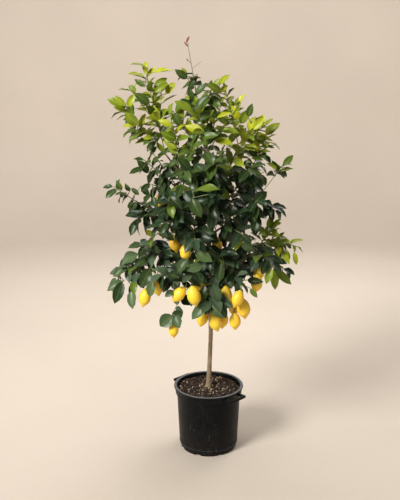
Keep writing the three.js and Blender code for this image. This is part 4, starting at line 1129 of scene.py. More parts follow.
def dust_group():
    """Dust that settles on what faces up, and clings in patches elsewhere."""
    sockets = (("Vector", None), ("Scale", 30.0), ("Amount", 0.3))
    nodes, given, out = new_group("Dust", sockets, ("Mask",))
    patches = nodes.noise(given["Vector"], given["Scale"], 6.0, 0.7)
    facing = nodes.add("ShaderNodeNewGeometry").outputs["Normal"]
    level = nodes.add("ShaderNodeSeparateXYZ", {0: facing}).outputs["Z"]
    reach = nodes.maths("ADD", nodes.times(given["Amount"], 0.35), nodes.ramp(level, 0.3, 1, 0, 0.16))
    high = nodes.maths("SUBTRACT", 0.78, reach)
    inputs = {"Value": patches, "From Min": nodes.maths("SUBTRACT", high, 0.18), "From Max": high}
    nodes.tree.links.new(nodes.add("ShaderNodeMapRange", inputs).outputs["Result"], out["Mask"])
    return nodes.tree


def streak_group():
    """Long thin streaks up and down, for bark, and for scuffs and runs on plastic."""
    sockets = (("Vector", None), ("Across", 150.0), ("Along", 8.0))
    nodes, given, out = new_group("Streaks", sockets, ("Soft", "Sharp"))
    scale = nodes.add("ShaderNodeCombineXYZ", {0: given["Across"], 1: given["Across"], 2: given["Along"]})
    vector = nodes.spread(given["Vector"], scale.outputs[0])
    lines = nodes.noise(vector, 1.0, 5.0, 0.6)
    nodes.tree.links.new(nodes.ramp(lines, 0.3, 0.7), out["Soft"])
    nodes.tree.links.new(nodes.ramp(lines, 0.6, 0.68), out["Sharp"])
    return nodes.tree


def speck_group():
    """Small separate spots: grit, pale flecks, oil glands and lenticels."""
    sockets = (("Vector", None), ("Scale", 100.0), ("Size", 0.15), ("Share", 0.3))
    nodes, given, out = new_group("Specks", sockets, ("Mask", "Dome"))
    cells = nodes.add("ShaderNodeTexVoronoi", {"Vector": given["Vector"], "Scale": given["Scale"]})
    luck = nodes.add("ShaderNodeSeparateColor", {0: cells.outputs["Color"]}).outputs[0]
    inputs = {"Value": cells.outputs["Distance"], "From Min": given["Size"], "From Max": 0.0}
    dome = nodes.add("ShaderNodeMapRange", inputs).outputs["Result"]
    chosen = nodes.maths("LESS_THAN", luck, given["Share"])
    nodes.tree.links.new(nodes.times(nodes.ramp(dome, 0.0, 0.35), chosen), out["Mask"])
    nodes.tree.links.new(nodes.times(dome, chosen), out["Dome"])
    return nodes.tree


def vein_group():
    """The midrib and side veins of a blade, from its UV map: across from 0 to 1, along from 0 to 1."""
    nodes, given, out = new_group("Leaf veins", (("Vector", None),), ("Midrib", "Side", "Height"))
    parts = nodes.add("ShaderNodeSeparateXYZ", {0: given["Vector"]}).outputs
    off = nodes.maths("ABSOLUTE", nodes.maths("SUBTRACT", parts["X"], 0.5))
    midrib = nodes.ramp(off, 0.045, 0.012)
    lean = nodes.maths("SUBTRACT", parts["Y"], nodes.times(off, 0.42))
    beat = nodes.maths("PINGPONG", nodes.times(lean, 10.0), 0.5)
    side = nodes.times(nodes.ramp(beat, 0.1, 0.02), nodes.ramp(off, 0.46, 0.2))
    nodes.tree.links.new(midrib, out["Midrib"])
    nodes.tree.links.new(side, out["Side"])
    swell = nodes.maths("SUBTRACT", nodes.ramp(beat, 0.0, 0.3), nodes.times(midrib, 1.5))
    nodes.tree.links.new(swell, out["Height"])
    return nodes.tree


GROUPS = {}


def group_of(make):
    """Each group is made once and used by every material that asks for it."""
    if make not in GROUPS:
        GROUPS[make] = make()
    return GROUPS[make]


def new_material(name, **plain):
    """A material with one shader; `plain` are the shader's own uniform values."""
    material = bpy.data.materials.new(name)
    material.use_nodes = True
    nodes = Nodes(material.node_tree)
    shader = material.node_tree.nodes["Principled BSDF"]
    for key, value in plain.items():
        shader.inputs[key.replace("_", " ")].default_value = value
    place = nodes.add("ShaderNodeTexCoord").outputs["Object"]

    def finish(colour, roughness=None, normal=None):
        for key, socket in (("Base Color", colour), ("Roughness", roughness), ("Normal", normal)):
            if socket is not None:
                nodes.tree.links.new(socket, shader.inputs[key])
        return material

    return nodes, place, finish


def rgb(colour):
    return (*colour, 1.0)


def tone_of(nodes):
    """The piece's own tone: youth, luck and underside."""
    tone = nodes.add("ShaderNodeAttribute", attribute_name="tone").outputs["Color"]
    return nodes.add("ShaderNodeSeparateColor", {0: tone}).outputs


def leaf_material(settings):
    nodes, place, finish = new_material("Leaf", Specular_IOR_Level=0.22)
    youth, luck, under = tone_of(nodes)[:3]
    uv = nodes.add("ShaderNodeTexCoord").outputs["UV"]
    veins = nodes.group(vein_group, Vector=uv)
    mottle = nodes.group(mottle_group, Vector=place, Scale=35.0)
    mature = nodes.mix(luck, rgb(settings.mature_dark), rgb(settings.mature_light))
    young = nodes.mix(luck, rgb(settings.young_dark), rgb(settings.young_light))
    height = nodes.height(place)
    # Painted light: mature leaves low in the head, the more so by luck, turn towards a paler grey-green
    # that stands in for the light and grey sheen reaching the lower leaves.
    low = nodes.times(nodes.ramp(height, 1.13, 0.96), nodes.ramp(luck, 0.3, 0.85, 0.05, 1))
    mature = nodes.mix(nodes.times(low, 0.85), mature, rgb(settings.painted_low_light))
    fresh = nodes.mix(luck, rgb(settings.fresh_dark), rgb(settings.fresh_light))
    colour = nodes.mix(nodes.ramp(youth, 0.03, 0.38), mature, fresh)
    colour = nodes.mix(nodes.ramp(youth, 0.3, 1), colour, young)
    colour = nodes.stain(colour, mottle["Broad"], 0.22, (0.022, 0.05, 0.012))
    pale = nodes.mix(youth, rgb((0.09, 0.15, 0.035)), rgb((0.42, 0.5, 0.09)))
    colour = nodes.mix(nodes.times(veins["Side"], 0.2), colour, pale)
    colour = nodes.mix(nodes.times(veins["Midrib"], 0.5), colour, pale)
    below = nodes.mix(youth, rgb((0.022, 0.05, 0.018)), rgb((0.26, 0.34, 0.05)))
    colour = nodes.mix(nodes.times(under, 0.8), colour, below)
    dust = nodes.group(dust_group, Vector=place, Scale=60.0, Amount=0.15)
    colour = nodes.stain(colour, dust["Mask"], 0.05, (0.4, 0.38, 0.3))
    rough = nodes.ramp(mottle["Fine"], 0, 1, 0.26, 0.4)
    rough = nodes.maths("ADD", rough, nodes.times(under, 0.2))
    normal = nodes.bump(veins["Height"], 0.16, 0.0006)
    return finish(colour, rough, normal)


def twig_material():
    nodes, place, finish = new_material("Green bark")
    youth, luck = tone_of(nodes)[:2]
    streaks = nodes.group(streak_group, Vector=place, Across=500.0, Along=60.0)
    green = nodes.mix(luck, rgb((0.05, 0.085, 0.022)), rgb((0.09, 0.11, 0.03)))
    fresh = nodes.mix(luck, rgb((0.25, 0.34, 0.06)), rgb((0.33, 0.4, 0.08)))
    colour = nodes.mix(youth, green, fresh)
    colour = nodes.stain(colour, streaks["Soft"], 0.4, (0.12, 0.1, 0.05))
    normal = nodes.bump(streaks["Soft"], 0.3, 0.0004)
    return finish(colour, nodes.ramp(streaks["Soft"], 0, 1, 0.45, 0.65), normal)


def bud_material():
    nodes, place, finish = new_material("Bud")
    streaks = nodes.group(streak_group, Vector=place, Across=700.0, Along=120.0)
    colour = nodes.mix(streaks["Soft"], rgb((0.12, 0.028, 0.014)), rgb((0.34, 0.1, 0.045)))
    rough = nodes.ramp(streaks["Soft"], 0, 1, 0.5, 0.7)
    return finish(colour, rough, nodes.bump(streaks["Soft"], 0.3, 0.0005))


def bark_material(settings):
    nodes, place, finish = new_material("Bark")
    thin = tone_of(nodes)[0]
    streaks = nodes.group(streak_group, Vector=place, Across=260.0, Along=22.0)
    mottle = nodes.group(mottle_group, Vector=place, Scale=28.0)
    lenticels = nodes.group(speck_group, Vector=place, Scale=170.0, Size=0.4, Share=0.3)
    colour = nodes.mix(mottle["Broad"], rgb(settings.bark_dark), rgb(settings.bark_light))
    colour = nodes.stain(colour, streaks["Soft"], 0.45, (0.1, 0.07, 0.04))
    colour = nodes.stain(colour, streaks["Sharp"], 0.6, (0.045, 0.03, 0.018))
    colour = nodes.stain(colour, lenticels["Mask"], 0.45, (0.4, 0.32, 0.2))
    colour = nodes.stain(colour, thin, 0.75, (0.065, 0.085, 0.03))
    height = nodes.maths("ADD", streaks["Soft"], nodes.times(mottle["Fine"], -0.5))
    normal = nodes.bump(height, 0.6, 0.0012)
    return finish(colour, nodes.ramp(mottle["Fine"], 0, 1, 0.75, 0.92), normal)


def peel_material(settings):
    nodes, place, finish = new_material(
        "Peel", Subsurface_Weight=0.08, Subsurface_Scale=0.004, Coat_Weight=0.1
    )
    ripe, luck = tone_of(nodes)[:2]
    mottle = nodes.group(mottle_group, Vector=place, Scale=22.0)
    glands = nodes.group(speck_group, Vector=place, Scale=620.0, Size=0.42, Share=1.0)
    colour = nodes.mix(luck, rgb(settings.peel_pale), rgb(settings.peel_deep))
    colour = nodes.stain(colour, mottle["Broad"], 0.3, (0.88, 0.6, 0.06))
    colour = nodes.stain(colour, ripe, 0.55, (0.36, 0.42, 0.03))
    colour = nodes.stain(colour, glands["Dome"], 0.16, (0.5, 0.28, 0.01))
    rough = nodes.ramp(mottle["Fine"], 0, 1, 0.36, 0.48)
    normal = nodes.bump(glands["Dome"], settings.pit_depth, -0.0005)
    return finish(colour, rough, normal)


RIM_HIGHLIGHT_DEPTH = 1.8  # how far the painted highlight along the rim's edge reaches down, in millimetres
BEAD_HIGHLIGHT_FADE = 0.002  # how far the painted highlight along the bead fades out above and below, in metres


def plastic_material(settings):
    nodes, place, finish = new_material("Black plastic", Specular_IOR_Level=0.1)
    mottle = nodes.group(mottle_group, Vector=place, Scale=14.0)
    streaks = nodes.group(streak_group, Vector=place, Across=110.0, Along=9.0)
    dust = nodes.group(dust_group, Vector=place, Scale=24.0, Amount=settings.dust)
    flecks = nodes.group(speck_group, Vector=place, Scale=75.0, Size=0.2, Share=0.09)
    edge, top, line = (POT["height"] - RIM_HIGHLIGHT_DEPTH) * MM, POT["height"] * MM, POT["bead"] * MM
    height = nodes.height(place)
    foot = nodes.times(nodes.ramp(height, 0.16, 0.0), mottle["Fine"])
    pale = tuple(c * 1.5 for c in settings.plastic)
    colour = nodes.mix(mottle["Broad"], rgb(settings.plastic), rgb(pale))
    scuffs = nodes.times(streaks["Sharp"], nodes.ramp(mottle["Fine"], 0.35, 0.8))
    colour = nodes.stain(colour, scuffs, 0.35, (0.085, 0.085, 0.088))
    colour = nodes.stain(colour, dust["Mask"], 0.25, (0.06, 0.058, 0.055))
    colour = nodes.stain(colour, foot, 0.14, (0.09, 0.08, 0.068))
    # Painted highlight: a pale bluish-grey band along the top of the rim, where light catches the rolled
    # edge.
    painted_rim_highlight = nodes.times(nodes.ramp(height, edge, top), nodes.ramp(mottle["Fine"], 0, 1, 0.5, 1))
    colour = nodes.mix(painted_rim_highlight, colour, rgb((0.17, 0.18, 0.197)))
    # Painted highlight: a pale line along the bead near the foot, where light catches it.
    below, above = nodes.ramp(height, line - BEAD_HIGHLIGHT_FADE, line), nodes.ramp(height, line + BEAD_HIGHLIGHT_FADE, line)
    bead = nodes.times(below, above)
    bead = nodes.times(bead, nodes.ramp(mottle["Fine"], 0.2, 0.8, 0.15, 0.9))
    colour = nodes.mix(bead, colour, rgb((0.085, 0.09, 0.1)))
    colour = nodes.stain(colour, flecks["Mask"], 0.3, (0.2, 0.19, 0.175))
    rough = nodes.ramp(mottle["Broad"], 0, 1, 0.34, 0.44)
    rough = nodes.maths("ADD", rough, nodes.times(dust["Mask"], 0.3))
    fine = nodes.maths("ADD", nodes.times(mottle["Fine"], 0.3), streaks["Sharp"])
    return finish(colour, rough, nodes.bump(fine, 0.15, 0.0006))


def soil_material(settings):
    nodes, place, finish = new_material("Potting mix")
    mottle = nodes.group(mottle_group, Vector=place, Scale=60.0)
    grit = nodes.group(speck_group, Vector=place, Scale=420.0, Size=0.4, Share=0.12)
    colour = nodes.mix(mottle["Broad"], rgb(settings.soil_dark), rgb(settings.soil_light))
    colour = nodes.stain(colour, grit["Mask"], 0.6, (0.3, 0.22, 0.14))
    height = nodes.maths("ADD", mottle["Fine"], nodes.times(grit["Dome"], 0.5))
    rough = nodes.ramp(mottle["Broad"], 0, 1, 0.85, 0.97)
    return finish(colour, rough, nodes.bump(height, 0.9, 0.002))


def chip_material(name, dark, light, roughness):
    """Chips, perlite or moss: each bit takes its own tone between two colours."""
    nodes, place, finish = new_material(name)
    luck = tone_of(nodes)[1]
    mottle = nodes.group(mottle_group, Vector=place, Scale=130.0)
    colour = nodes.mix(luck, rgb(dark), rgb(light))
    colour = nodes.mix(nodes.times(mottle["Broad"], 0.35), colour, rgb(dark))
    rough = nodes.ramp(mottle["Fine"], 0, 1, roughness - 0.1, roughness)
    return finish(colour, rough, nodes.bump(mottle["Fine"], 0.5, 0.001))


def floor_material(settings):
    nodes, place, finish = new_material("Pale floor")
    mottle = nodes.group(mottle_group, Vector=place, Scale=0.8)
    shade = tuple(c * 0.94 for c in settings.floor_colour)
    colour = nodes.mix(mottle["Broad"], rgb(shade), rgb(settings.floor_colour))
    return finish(colour, nodes.ramp(mottle["Fine"], 0, 1, 0.75, 0.85))


# ---------- what the sidebar offers ----------
def colour_property(name, description, default):
    return FloatVectorProperty(
        name=name, description=description, default=default, subtype="COLOR", size=3, min=0, max=1
    )


class ContainerSettings(bpy.types.PropertyGroup):
    plastic: colour_property("Plastic", "Colour of the clean plastic", (0.003, 0.0032, 0.0036))
    dust: FloatProperty(
        name="Dust", description="How much of the wall is dusty", default=0.08, min=0, max=1,
        subtype="FACTOR",
    )
    rim_rounding: FloatProperty(
        name="Rim rounding", description="Radius of the rim's rolled edge", default=0.004, unit="LENGTH"
    )
    segments: IntProperty(name="Segments", description="Faces round the wall", default=128, min=32, max=256)


class MixSettings(bpy.types.PropertyGroup):
    soil_dark: colour_property("Dark", "Darkest colour of the potting mix", (0.005, 0.003, 0.002))
    soil_light: colour_property("Light", "Lightest colour of the potting mix", (0.03, 0.017, 0.009))
    chips: IntProperty(name="Chips", description="Number of bark chips", default=950, min=0, max=3000)
    perlite: IntProperty(name="Perlite", description="Number of white grains", default=130, min=0, max=1000)


class WoodSettings(bpy.types.PropertyGroup):
    bark_dark: colour_property("Bark, dark", "Darker patches of the stem's bark", (0.2, 0.145, 0.085))
    bark_light: colour_property("Bark, light", "Lighter patches of the stem's bark", (0.36, 0.28, 0.18))
    unevenness: FloatProperty(
        name="Unevenness", description="Share by which the stem departs from round", default=0.07,
        min=0, max=0.3,
    )


class LeafSettings(bpy.types.PropertyGroup):
    mature_dark: colour_property("Mature, dark", "Darkest full-grown leaf", (0.0018, 0.0075, 0.004))
    mature_light: colour_property("Mature, light", "Lightest full-grown leaf", (0.011, 0.036, 0.015))
    # Painted light: the paler grey-green that low mature leaves turn towards, in place of the light and
    # grey sheen that reach them.
    painted_low_light: colour_property("Low, old", "Dusty old leaf, low in the head", (0.076, 0.12, 0.074))
    fresh_dark: colour_property("Fresh, dark", "Darkest half-grown leaf", (0.028, 0.064, 0.01))
    fresh_light: colour_property("Fresh, light", "Lightest half-grown leaf", (0.14, 0.22, 0.016))
    young_dark: colour_property("Young, dark", "Darkest new leaf", (0.12, 0.19, 0.006))
    young_light: colour_property("Young, light", "Lightest new leaf", (0.45, 0.47, 0.01))


class FruitSettings(bpy.types.PropertyGroup):
    peel_pale: colour_property("Peel, pale", "Palest fruit", (0.87, 0.61, 0.03))
    peel_deep: colour_property("Peel, deep", "Deepest yellow fruit", (0.84, 0.53, 0.02))
    pit_depth: FloatProperty(
        name="Pits", description="How deep the pits of the peel look", default=0.5, min=0, max=1,
        subtype="FACTOR",
    )


class StudioSettings(bpy.types.PropertyGroup):
    floor_colour: colour_property("Floor", "Colour of the floor", (0.575, 0.512, 0.446))
    key_power: FloatProperty(
        name="Key light", description="Power of the main light in watts", default=500, min=0
    )
    fill_power: FloatProperty(name="Fill light", description="Power of the fill light", default=14, min=0)
    back_power: FloatProperty(
        name="Back light", description="Power of the light behind the tree", default=70, min=0
    )
    wall_power: FloatProperty(
        name="Backdrop light", description="Power of the light on the backdrop", default=205, min=0
    )
    sky: FloatProperty(name="Sky", description="Strength of the light from all round", default=0.17, min=0)
    lens: FloatProperty(
        name="Lens", description="Focal length of the camera", default=32.16, subtype="DISTANCE_CAMERA"
    )


SETTINGS = {
    "container": ContainerSettings, "mix": MixSettings, "wood": WoodSettings,
    "leaves": LeafSettings, "fruit": FruitSettings, "studio": StudioSettings,
}


def settings_of(context, name):
    return getattr(context.scene, f"lemon_tree_{name}")


def finish_piece(piece, slot, *nodes):
    """Puts a piece in the frame: what it rides on and which solids it stands for, which it hides. `slot`,
    the finish that it takes, is not used.
    """
    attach(piece, BODY)
    if nodes:
        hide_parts(*nodes)
    return piece


TREE = {}


def planned_tree():
    """The tree's curves and leaves, worked out once for all the pieces."""
    if not TREE:
        TREE.update(plan_tree())
        thicken(TREE)
    return TREE


# ---------- container ----------
def outer_radius(height):
    return between((POT["base"], POT["top"]), height / POT["height"])


def turned(name, profile, segments):
    """A closed turned body: a ring drawn out and resized station by station, both ends drawn to a point."""
    bpy.ops.object.select_all(action="DESELECT")
    radius, height = profile[0]
    bpy.ops.mesh.primitive_circle_add(vertices=segments, radius=radius * MM, location=(0, 0, height * MM))
    piece = bpy.context.object
    piece.name = piece.data.name = name
    bpy.ops.object.mode_set(mode="EDIT")
    bpy.ops.mesh.select_all(action="SELECT")
    for next_radius, next_height in profile[1:]:
        step = (0, 0, (next_height - height) * MM)
        bpy.ops.mesh.extrude_edges_move(TRANSFORM_OT_translate={"value": step})
        share = next_radius / radius
        bpy.ops.transform.resize(value=(share, share, 1), center_override=(0, 0, next_height * MM))
        radius, height = next_radius, next_height
    bpy.ops.mesh.edge_face_add()
    bpy.ops.mesh.poke()
    bpy.ops.mesh.select_all(action="DESELECT")
    bpy.ops.object.mode_set(mode="OBJECT")
    bpy.ops.object.transform_apply(location=True, rotation=True, scale=True)
    return piece


def close_and_face_out(piece):
    """Fills what is still open and turns every face outwards."""
    select_only(piece)
    bpy.ops.object.mode_set(mode="EDIT")
    bpy.ops.mesh.select_all(action="SELECT")
    bpy.ops.mesh.remove_doubles(threshold=0.01 * MM)
    bpy.ops.mesh.fill_holes(sides=0)
    bpy.ops.mesh.normals_make_consistent(inside=False)
    bpy.ops.object.mode_set(mode="OBJECT")


def block(size, middle, azimuth, rounding=0.0):
    """A block with its middle at (radius, across, z), turned about the container's axis."""
    bpy.ops.object.select_all(action="DESELECT")
    turn = math.radians(azimuth)
    place = Matrix.Rotation(turn, 3, "Z") @ (Vector(middle) * MM)
    bpy.ops.mesh.primitive_cube_add(size=1, location=place, rotation=(0, 0, turn), scale=Vector(size) * MM)
    piece = bpy.context.object
    bpy.ops.object.transform_apply(location=True, rotation=True, scale=True)
    if rounding:
        bevel = piece.modifiers.new("Rounding", "BEVEL")
        bevel.width, bevel.segments = rounding * MM, 3
        bpy.ops.object.modifier_apply(modifier=bevel.name)
    return piece


def smooth_and_coat(piece, angle, material):
    """Smooths a piece up to an angle in degrees and gives it its one material."""
    select_only(piece)
    bpy.ops.object.shade_smooth_by_angle(angle=math.radians(angle))
    piece.data.materials.clear()
    piece.data.materials.append(material)


def cut_or_join(piece, tools, operation):
    """Cuts the tools from the piece, or joins them to it, and removes them."""
    for tool in tools:
        change = piece.modifiers.new(operation, "BOOLEAN")
        change.operation, change.solver, change.object = operation, "EXACT", tool
        select_only(piece)
        bpy.ops.object.modifier_apply(modifier=change.name)
        bpy.data.objects.remove(tool)


class LEMONTREE_OT_container(bpy.types.Operator):
    """Turn the container, with its rolled rim, collar, foot, drain notches and grips"""

    bl_idname = "lemontree.container"
    bl_label = "Container"

    def execute(self, context):
        settings = settings_of(context, "container")
        top, wall, rim = POT["height"], POT["wall"], POT["rim"]
        bead = settings.rim_rounding / MM
        lip = rim - bead
        arc = [math.radians(a) for a in range(-60, 100, 20)]
        rounded = [(lip + bead * math.cos(a), top - bead + bead * math.sin(a)) for a in arc]
        inner = outer_radius(top) - wall
        foot, foot_height, line = POT["foot"], POT["foot_height"], POT["bead"]
        profile = [
            (1, 0), (foot - 6, 0), (foot - 2.2, 0.7), (foot - 0.6, 2.4), (foot, 5),
            (foot + 0.8, foot_height - 2),
            (foot + 2.4, foot_height - 0.4), (outer_radius(foot_height) - 0.8, foot_height + 1.2),
            (outer_radius(foot_height), foot_height + wall), (outer_radius(line - 2), line - 2),
            (outer_radius(line) + 0.8, line - 0.8), (outer_radius(line) + 0.8, line + 0.8),
            (outer_radius(line + 2), line + 2),
        ]
        profile += [(outer_radius(z), z) for z in range(60, POT["skirt_foot"] - 3, 24)]
        skirt, skirt_foot, rim_foot = POT["skirt"], POT["skirt_foot"], POT["rim_foot"]
        profile += [
            (outer_radius(skirt_foot), skirt_foot - 0.4), (skirt - 1.4, skirt_foot),
            (skirt - 0.3, skirt_foot + 0.8),
            (skirt, skirt_foot + 3), (skirt + 0.6, rim_foot - 3), (skirt + 1.6, rim_foot - 0.8),
            (rim - 3, rim_foot + 0.3), (rim - 1.2, rim_foot + 1.4),
        ]
        profile += rounded
        profile += [
            (inner + 6, top), (inner + 2.6, top - 0.8), (inner + 0.8, top - 2.6), (inner, top - 6),
            (outer_radius(180) - wall, 180), (outer_radius(28) - wall, 28), (foot - 6, 6),
            (foot - 14, POT["floor"]),
            (1, POT["floor"]),
        ]
        piece = turned("container", profile, settings.segments)
        close_and_face_out(piece)
        z = GRIP["top"] - GRIP["height"] / 2
        middle = GRIP["reach"] - GRIP["post_depth"] / 2
        offset = (GRIP["length"] - GRIP["post"]) / 2
        bars = []
        for azimuth in GRIP["azimuths"]:
            size = (GRIP["bar"], GRIP["length"], GRIP["height"])
            bars.append(block(size, (GRIP["reach"], 0, z), azimuth, 3))
            for way in (-1, 1):
                size = (GRIP["post_depth"], GRIP["post"], GRIP["height"] - 2)
                bars.append(block(size, (middle, way * offset, z), azimuth, 2.5))
        cut_or_join(piece, bars, "UNION")
        drains = []
        for i in range(DRAIN["count"]):
            size = (DRAIN["depth"], DRAIN["width"], 2 * DRAIN["height"])
            drains.append(block(size, (foot, 0, 0), 360 * (i + 0.5) / DRAIN["count"], 3))
        cut_or_join(piece, drains, "DIFFERENCE")
        smooth_and_coat(piece, 38, plastic_material(settings))
        finish_piece(piece, "pot_plastic", "pot")
        return {"FINISHED"}


# ---------- potting mix ----------
def soil_height(x, y):
    """The surface of the mix in millimetres: a low mound at the stem that falls to the wall."""
    radius = math.hypot(x, y)
    place = Vector((x, y, 0)) * 0.03
    height = SOIL["top"] - 1 + 3 * math.exp(-((radius / 40) ** 2)) - 5 * max(radius / 148, 0) ** 6
    height += 3.0 * noise.noise(place) + 1.6 * noise.noise(place * 4) + 0.8 * noise.noise(place * 11)
    return height


def crumb(size, draw, facets):
    """One rough bit: a facetted ball pulled out of shape, turned at random."""
    points, faces = facets
    turn = Euler((draw() * 6.3, draw() * 6.3, draw() * 6.3)).to_matrix()
    shaped = points * np.array([1 + 0.5 * (draw() - 0.5) for _ in points])[:, None] * np.array(size) / 2
    return shaped @ np.array(turn).T, faces


def facetted_ball():
    """The shared form of every bit: a ball of twenty faces, taken from the primitive."""
    bpy.ops.object.select_all(action="DESELECT")
    bpy.ops.mesh.primitive_ico_sphere_add(subdivisions=1, radius=1)
    ball = bpy.context.object
    points = np.array([v.co[:] for v in ball.data.vertices])
    faces = [tuple(p.vertices) for p in ball.data.polygons]
    bpy.data.objects.remove(ball)
    return points, faces


def scatter(name, count, sizes, draw, facets, material, reach, inward=False):
    """Bits strewn over the mix and partly sunk in it, evenly or, if `inward`, denser near the stem."""
    shapes = Shapes()
    for _ in range(count):
        radius = reach * (draw() ** 1.4 if inward else math.sqrt(draw()))
        turn = draw() * 2 * math.pi
        x, y = radius * math.cos(turn), radius * math.sin(turn)
        size = [between(pair, draw()) for pair in sizes]
        points, faces = crumb(size, draw, facets)
        low = soil_height(x, y) + min(size) * (0.1 + 0.35 * draw())
        points = points + (x, y, low)
        shapes.add(points, faces, np.zeros((len(points), 2)), [(0.0, draw(), 0.0, 1.0)] * len(faces), 0)
    return finish_piece(shapes.build(name, [material]), "potting_mix")


class LEMONTREE_OT_potting_mix(bpy.types.Operator):
    """Lay the potting mix: its uneven surface, bark chips, perlite and the moss at the stem"""

    bl_idname = "lemontree.potting_mix"
    bl_label = "Potting mix"

    def execute(self, context):
        settings = settings_of(context, "mix")
        wall = outer_radius(SOIL["brim"]) - POT["wall"] - GAP
        radii = np.concatenate([[1], np.linspace(6, wall - 1, 44), [wall]])
        profile = [(r, SOIL["top"]) for r in radii] + [(wall - 1, SOIL["foot"]), (1, SOIL["foot"])]
        piece = turned("potting_mix", profile, 120)
        close_and_face_out(piece)
        for vertex in piece.data.vertices:
            if vertex.co.z > (SOIL["top"] - 1) * MM:
                vertex.co.z = soil_height(vertex.co.x / MM, vertex.co.y / MM) * MM
        smooth_and_coat(piece, 60, soil_material(settings))
        finish_piece(piece, "potting_mix", "soil")
        draw, facets = seeded(SOIL["seed"]), facetted_ball()
        dark = chip_material("Bark chips", (0.002, 0.0014, 0.001), (0.08, 0.044, 0.023), 0.95)
        tan = chip_material("Tan chips", (0.17, 0.105, 0.058), (0.85, 0.66, 0.45), 0.95)
        white = chip_material("Perlite", (0.45, 0.42, 0.36), (0.85, 0.83, 0.78), 0.95)
        moss = chip_material("Moss", (0.02, 0.06, 0.008), (0.1, 0.19, 0.02), 0.95)
        chips, reach = settings.chips, wall - 6
        scatter("dark_chips", chips, ((7, 26), (4, 12), (2.5, 6)), draw, facets, dark, reach)
        scatter("tan_chips", chips // 5, ((7, 24), (3, 11), (2, 6)), draw, facets, tan, reach, True)
        scatter("crumbs", chips * 3 // 2, ((2, 6), (2, 4), (1.5, 3.5)), draw, facets, dark, reach + 3)
        scatter("perlite", settings.perlite, ((2, 4.5), (2, 4), (2, 3.5)), draw, facets, white, reach)
        scatter("moss", MOSS_COUNT, ((2, 6), (2, 4), (3, 7)), draw, facets, moss, MOSS_REACH, True)
        return {"FINISHED"}


# ---------- wood ----------
STEM_STEP, STEM_SIDES = 11, 20
# What a knot adds to the stem's radius, and over what height: where a limb leaves, and at the soil.
LIMB_KNOT, ROOT_FLARE = (1.1, 11), (2.2, 14)


def knot(heights, height, size, spread):
    return size * np.exp(-(((heights - height) / spread) ** 2))


class LEMONTREE_OT_wood(bpy.types.Operator):
    """Grow the stem and its limbs, with their knots and bark"""

    bl_idname = "lemontree.wood"
    bl_label = "Stem and limbs"

    def execute(self, context):
        settings = settings_of(context, "wood")
        tree, shapes = planned_tree(), Shapes()
        heights = np.arange(STEM[0][2], STEM[-1][2] + 0.1, STEM_STEP)
        rows = [stem_at(height) for height in heights]
        path = evened(np.array([row[0] for row in rows]), 4)
        radii = evened(np.array([row[1] for row in rows]), 4)
        for height, _, _ in LIMBS.values():
            radii = radii + knot(heights, height, *LIMB_KNOT)
        radii = radii + knot(heights, SOIL["top"], *ROOT_FLARE)
        turns = turns_of(STEM_SIDES)
        uneven = [
            [noise.noise((2 * math.cos(turn), 2 * math.sin(turn), height * 0.03)) for turn in turns]
            for height in heights
        ]
        uneven = 1 + settings.unevenness * np.array(uneven)
        add_tube(shapes, path, radii, STEM_SIDES, (0.0, 0.5, 0, 1), 0, uneven)
        for curve in tree["limbs"].values():
            path = shoot_path(curve, 12)
            shares = np.linspace(0, 1, len(path))
            radii = LIMB_RADII[0] + (LIMB_RADII[1] - LIMB_RADII[0]) * shares - 0.8
            radii = radii * (1 + 0.06 * np.sin(shares * 23 + path[0][2]))
            radii[0] += 2
            add_tube(shapes, path, radii, 10, (0.55, 0.5, 0, 1), 0)
        piece = shapes.build("stem_and_limbs", [bark_material(settings)], smooth=60)
        finish_piece(piece, "bark", "wood")
        return {"FINISHED"}


# ---------- leaves ----------
class LEMONTREE_OT_leafy_shoots(bpy.types.Operator):
    """Grow every leafy shoot: its twigs, leaves, buds and the stalks of its lemons"""

    bl_idname = "lemontree.leafy_shoots"
    bl_label = "Leafy shoots"

    def execute(self, context):
        settings = settings_of(context, "leaves")
        tree = planned_tree()
        materials = [leaf_material(settings), twig_material(), bud_material()]
        draw, made = seeded(SEED + 2), Blades()
        for spray in dict.fromkeys(shoot["spray"] for shoot in tree["shoots"].values()):
            shapes, members = Shapes(), []
            for name, shoot in tree["shoots"].items():
                if shoot["spray"] == spray:
                    add_shoot(shapes, name, shoot, draw, made)
                    members.append(name)
            for lemon, curve in tree["stalks"].items():
                if LEMONS[lemon][0] in members:
                    add_stalk(shapes, curve, draw)
            young = tree["shoots"][spray]["age"] == "young"
            piece = shapes.build(f"leaves_{spray}", materials, smooth=50)
            finish_piece(piece, "leaf_young" if young else "leaf_mature", f"spray_{spray}")
        return {"FINISHED"}


# ---------- lemons ----------
# Height over length and distance from the axis over the radius, from stalk to nipple.
FRUIT = (
    (0.5, 0.0), (0.492, 0.17), (0.462, 0.3), (0.41, 0.45), (0.33, 0.66), (0.22, 0.86), (0.08, 0.985),
    (-0.06, 1.0), (-0.18, 0.91), (-0.28, 0.72), (-0.35, 0.5), (-0.395, 0.34), (-0.43, 0.27), (-0.465, 0.2),
    (-0.49, 0.11), (-0.5, 0.0),
)


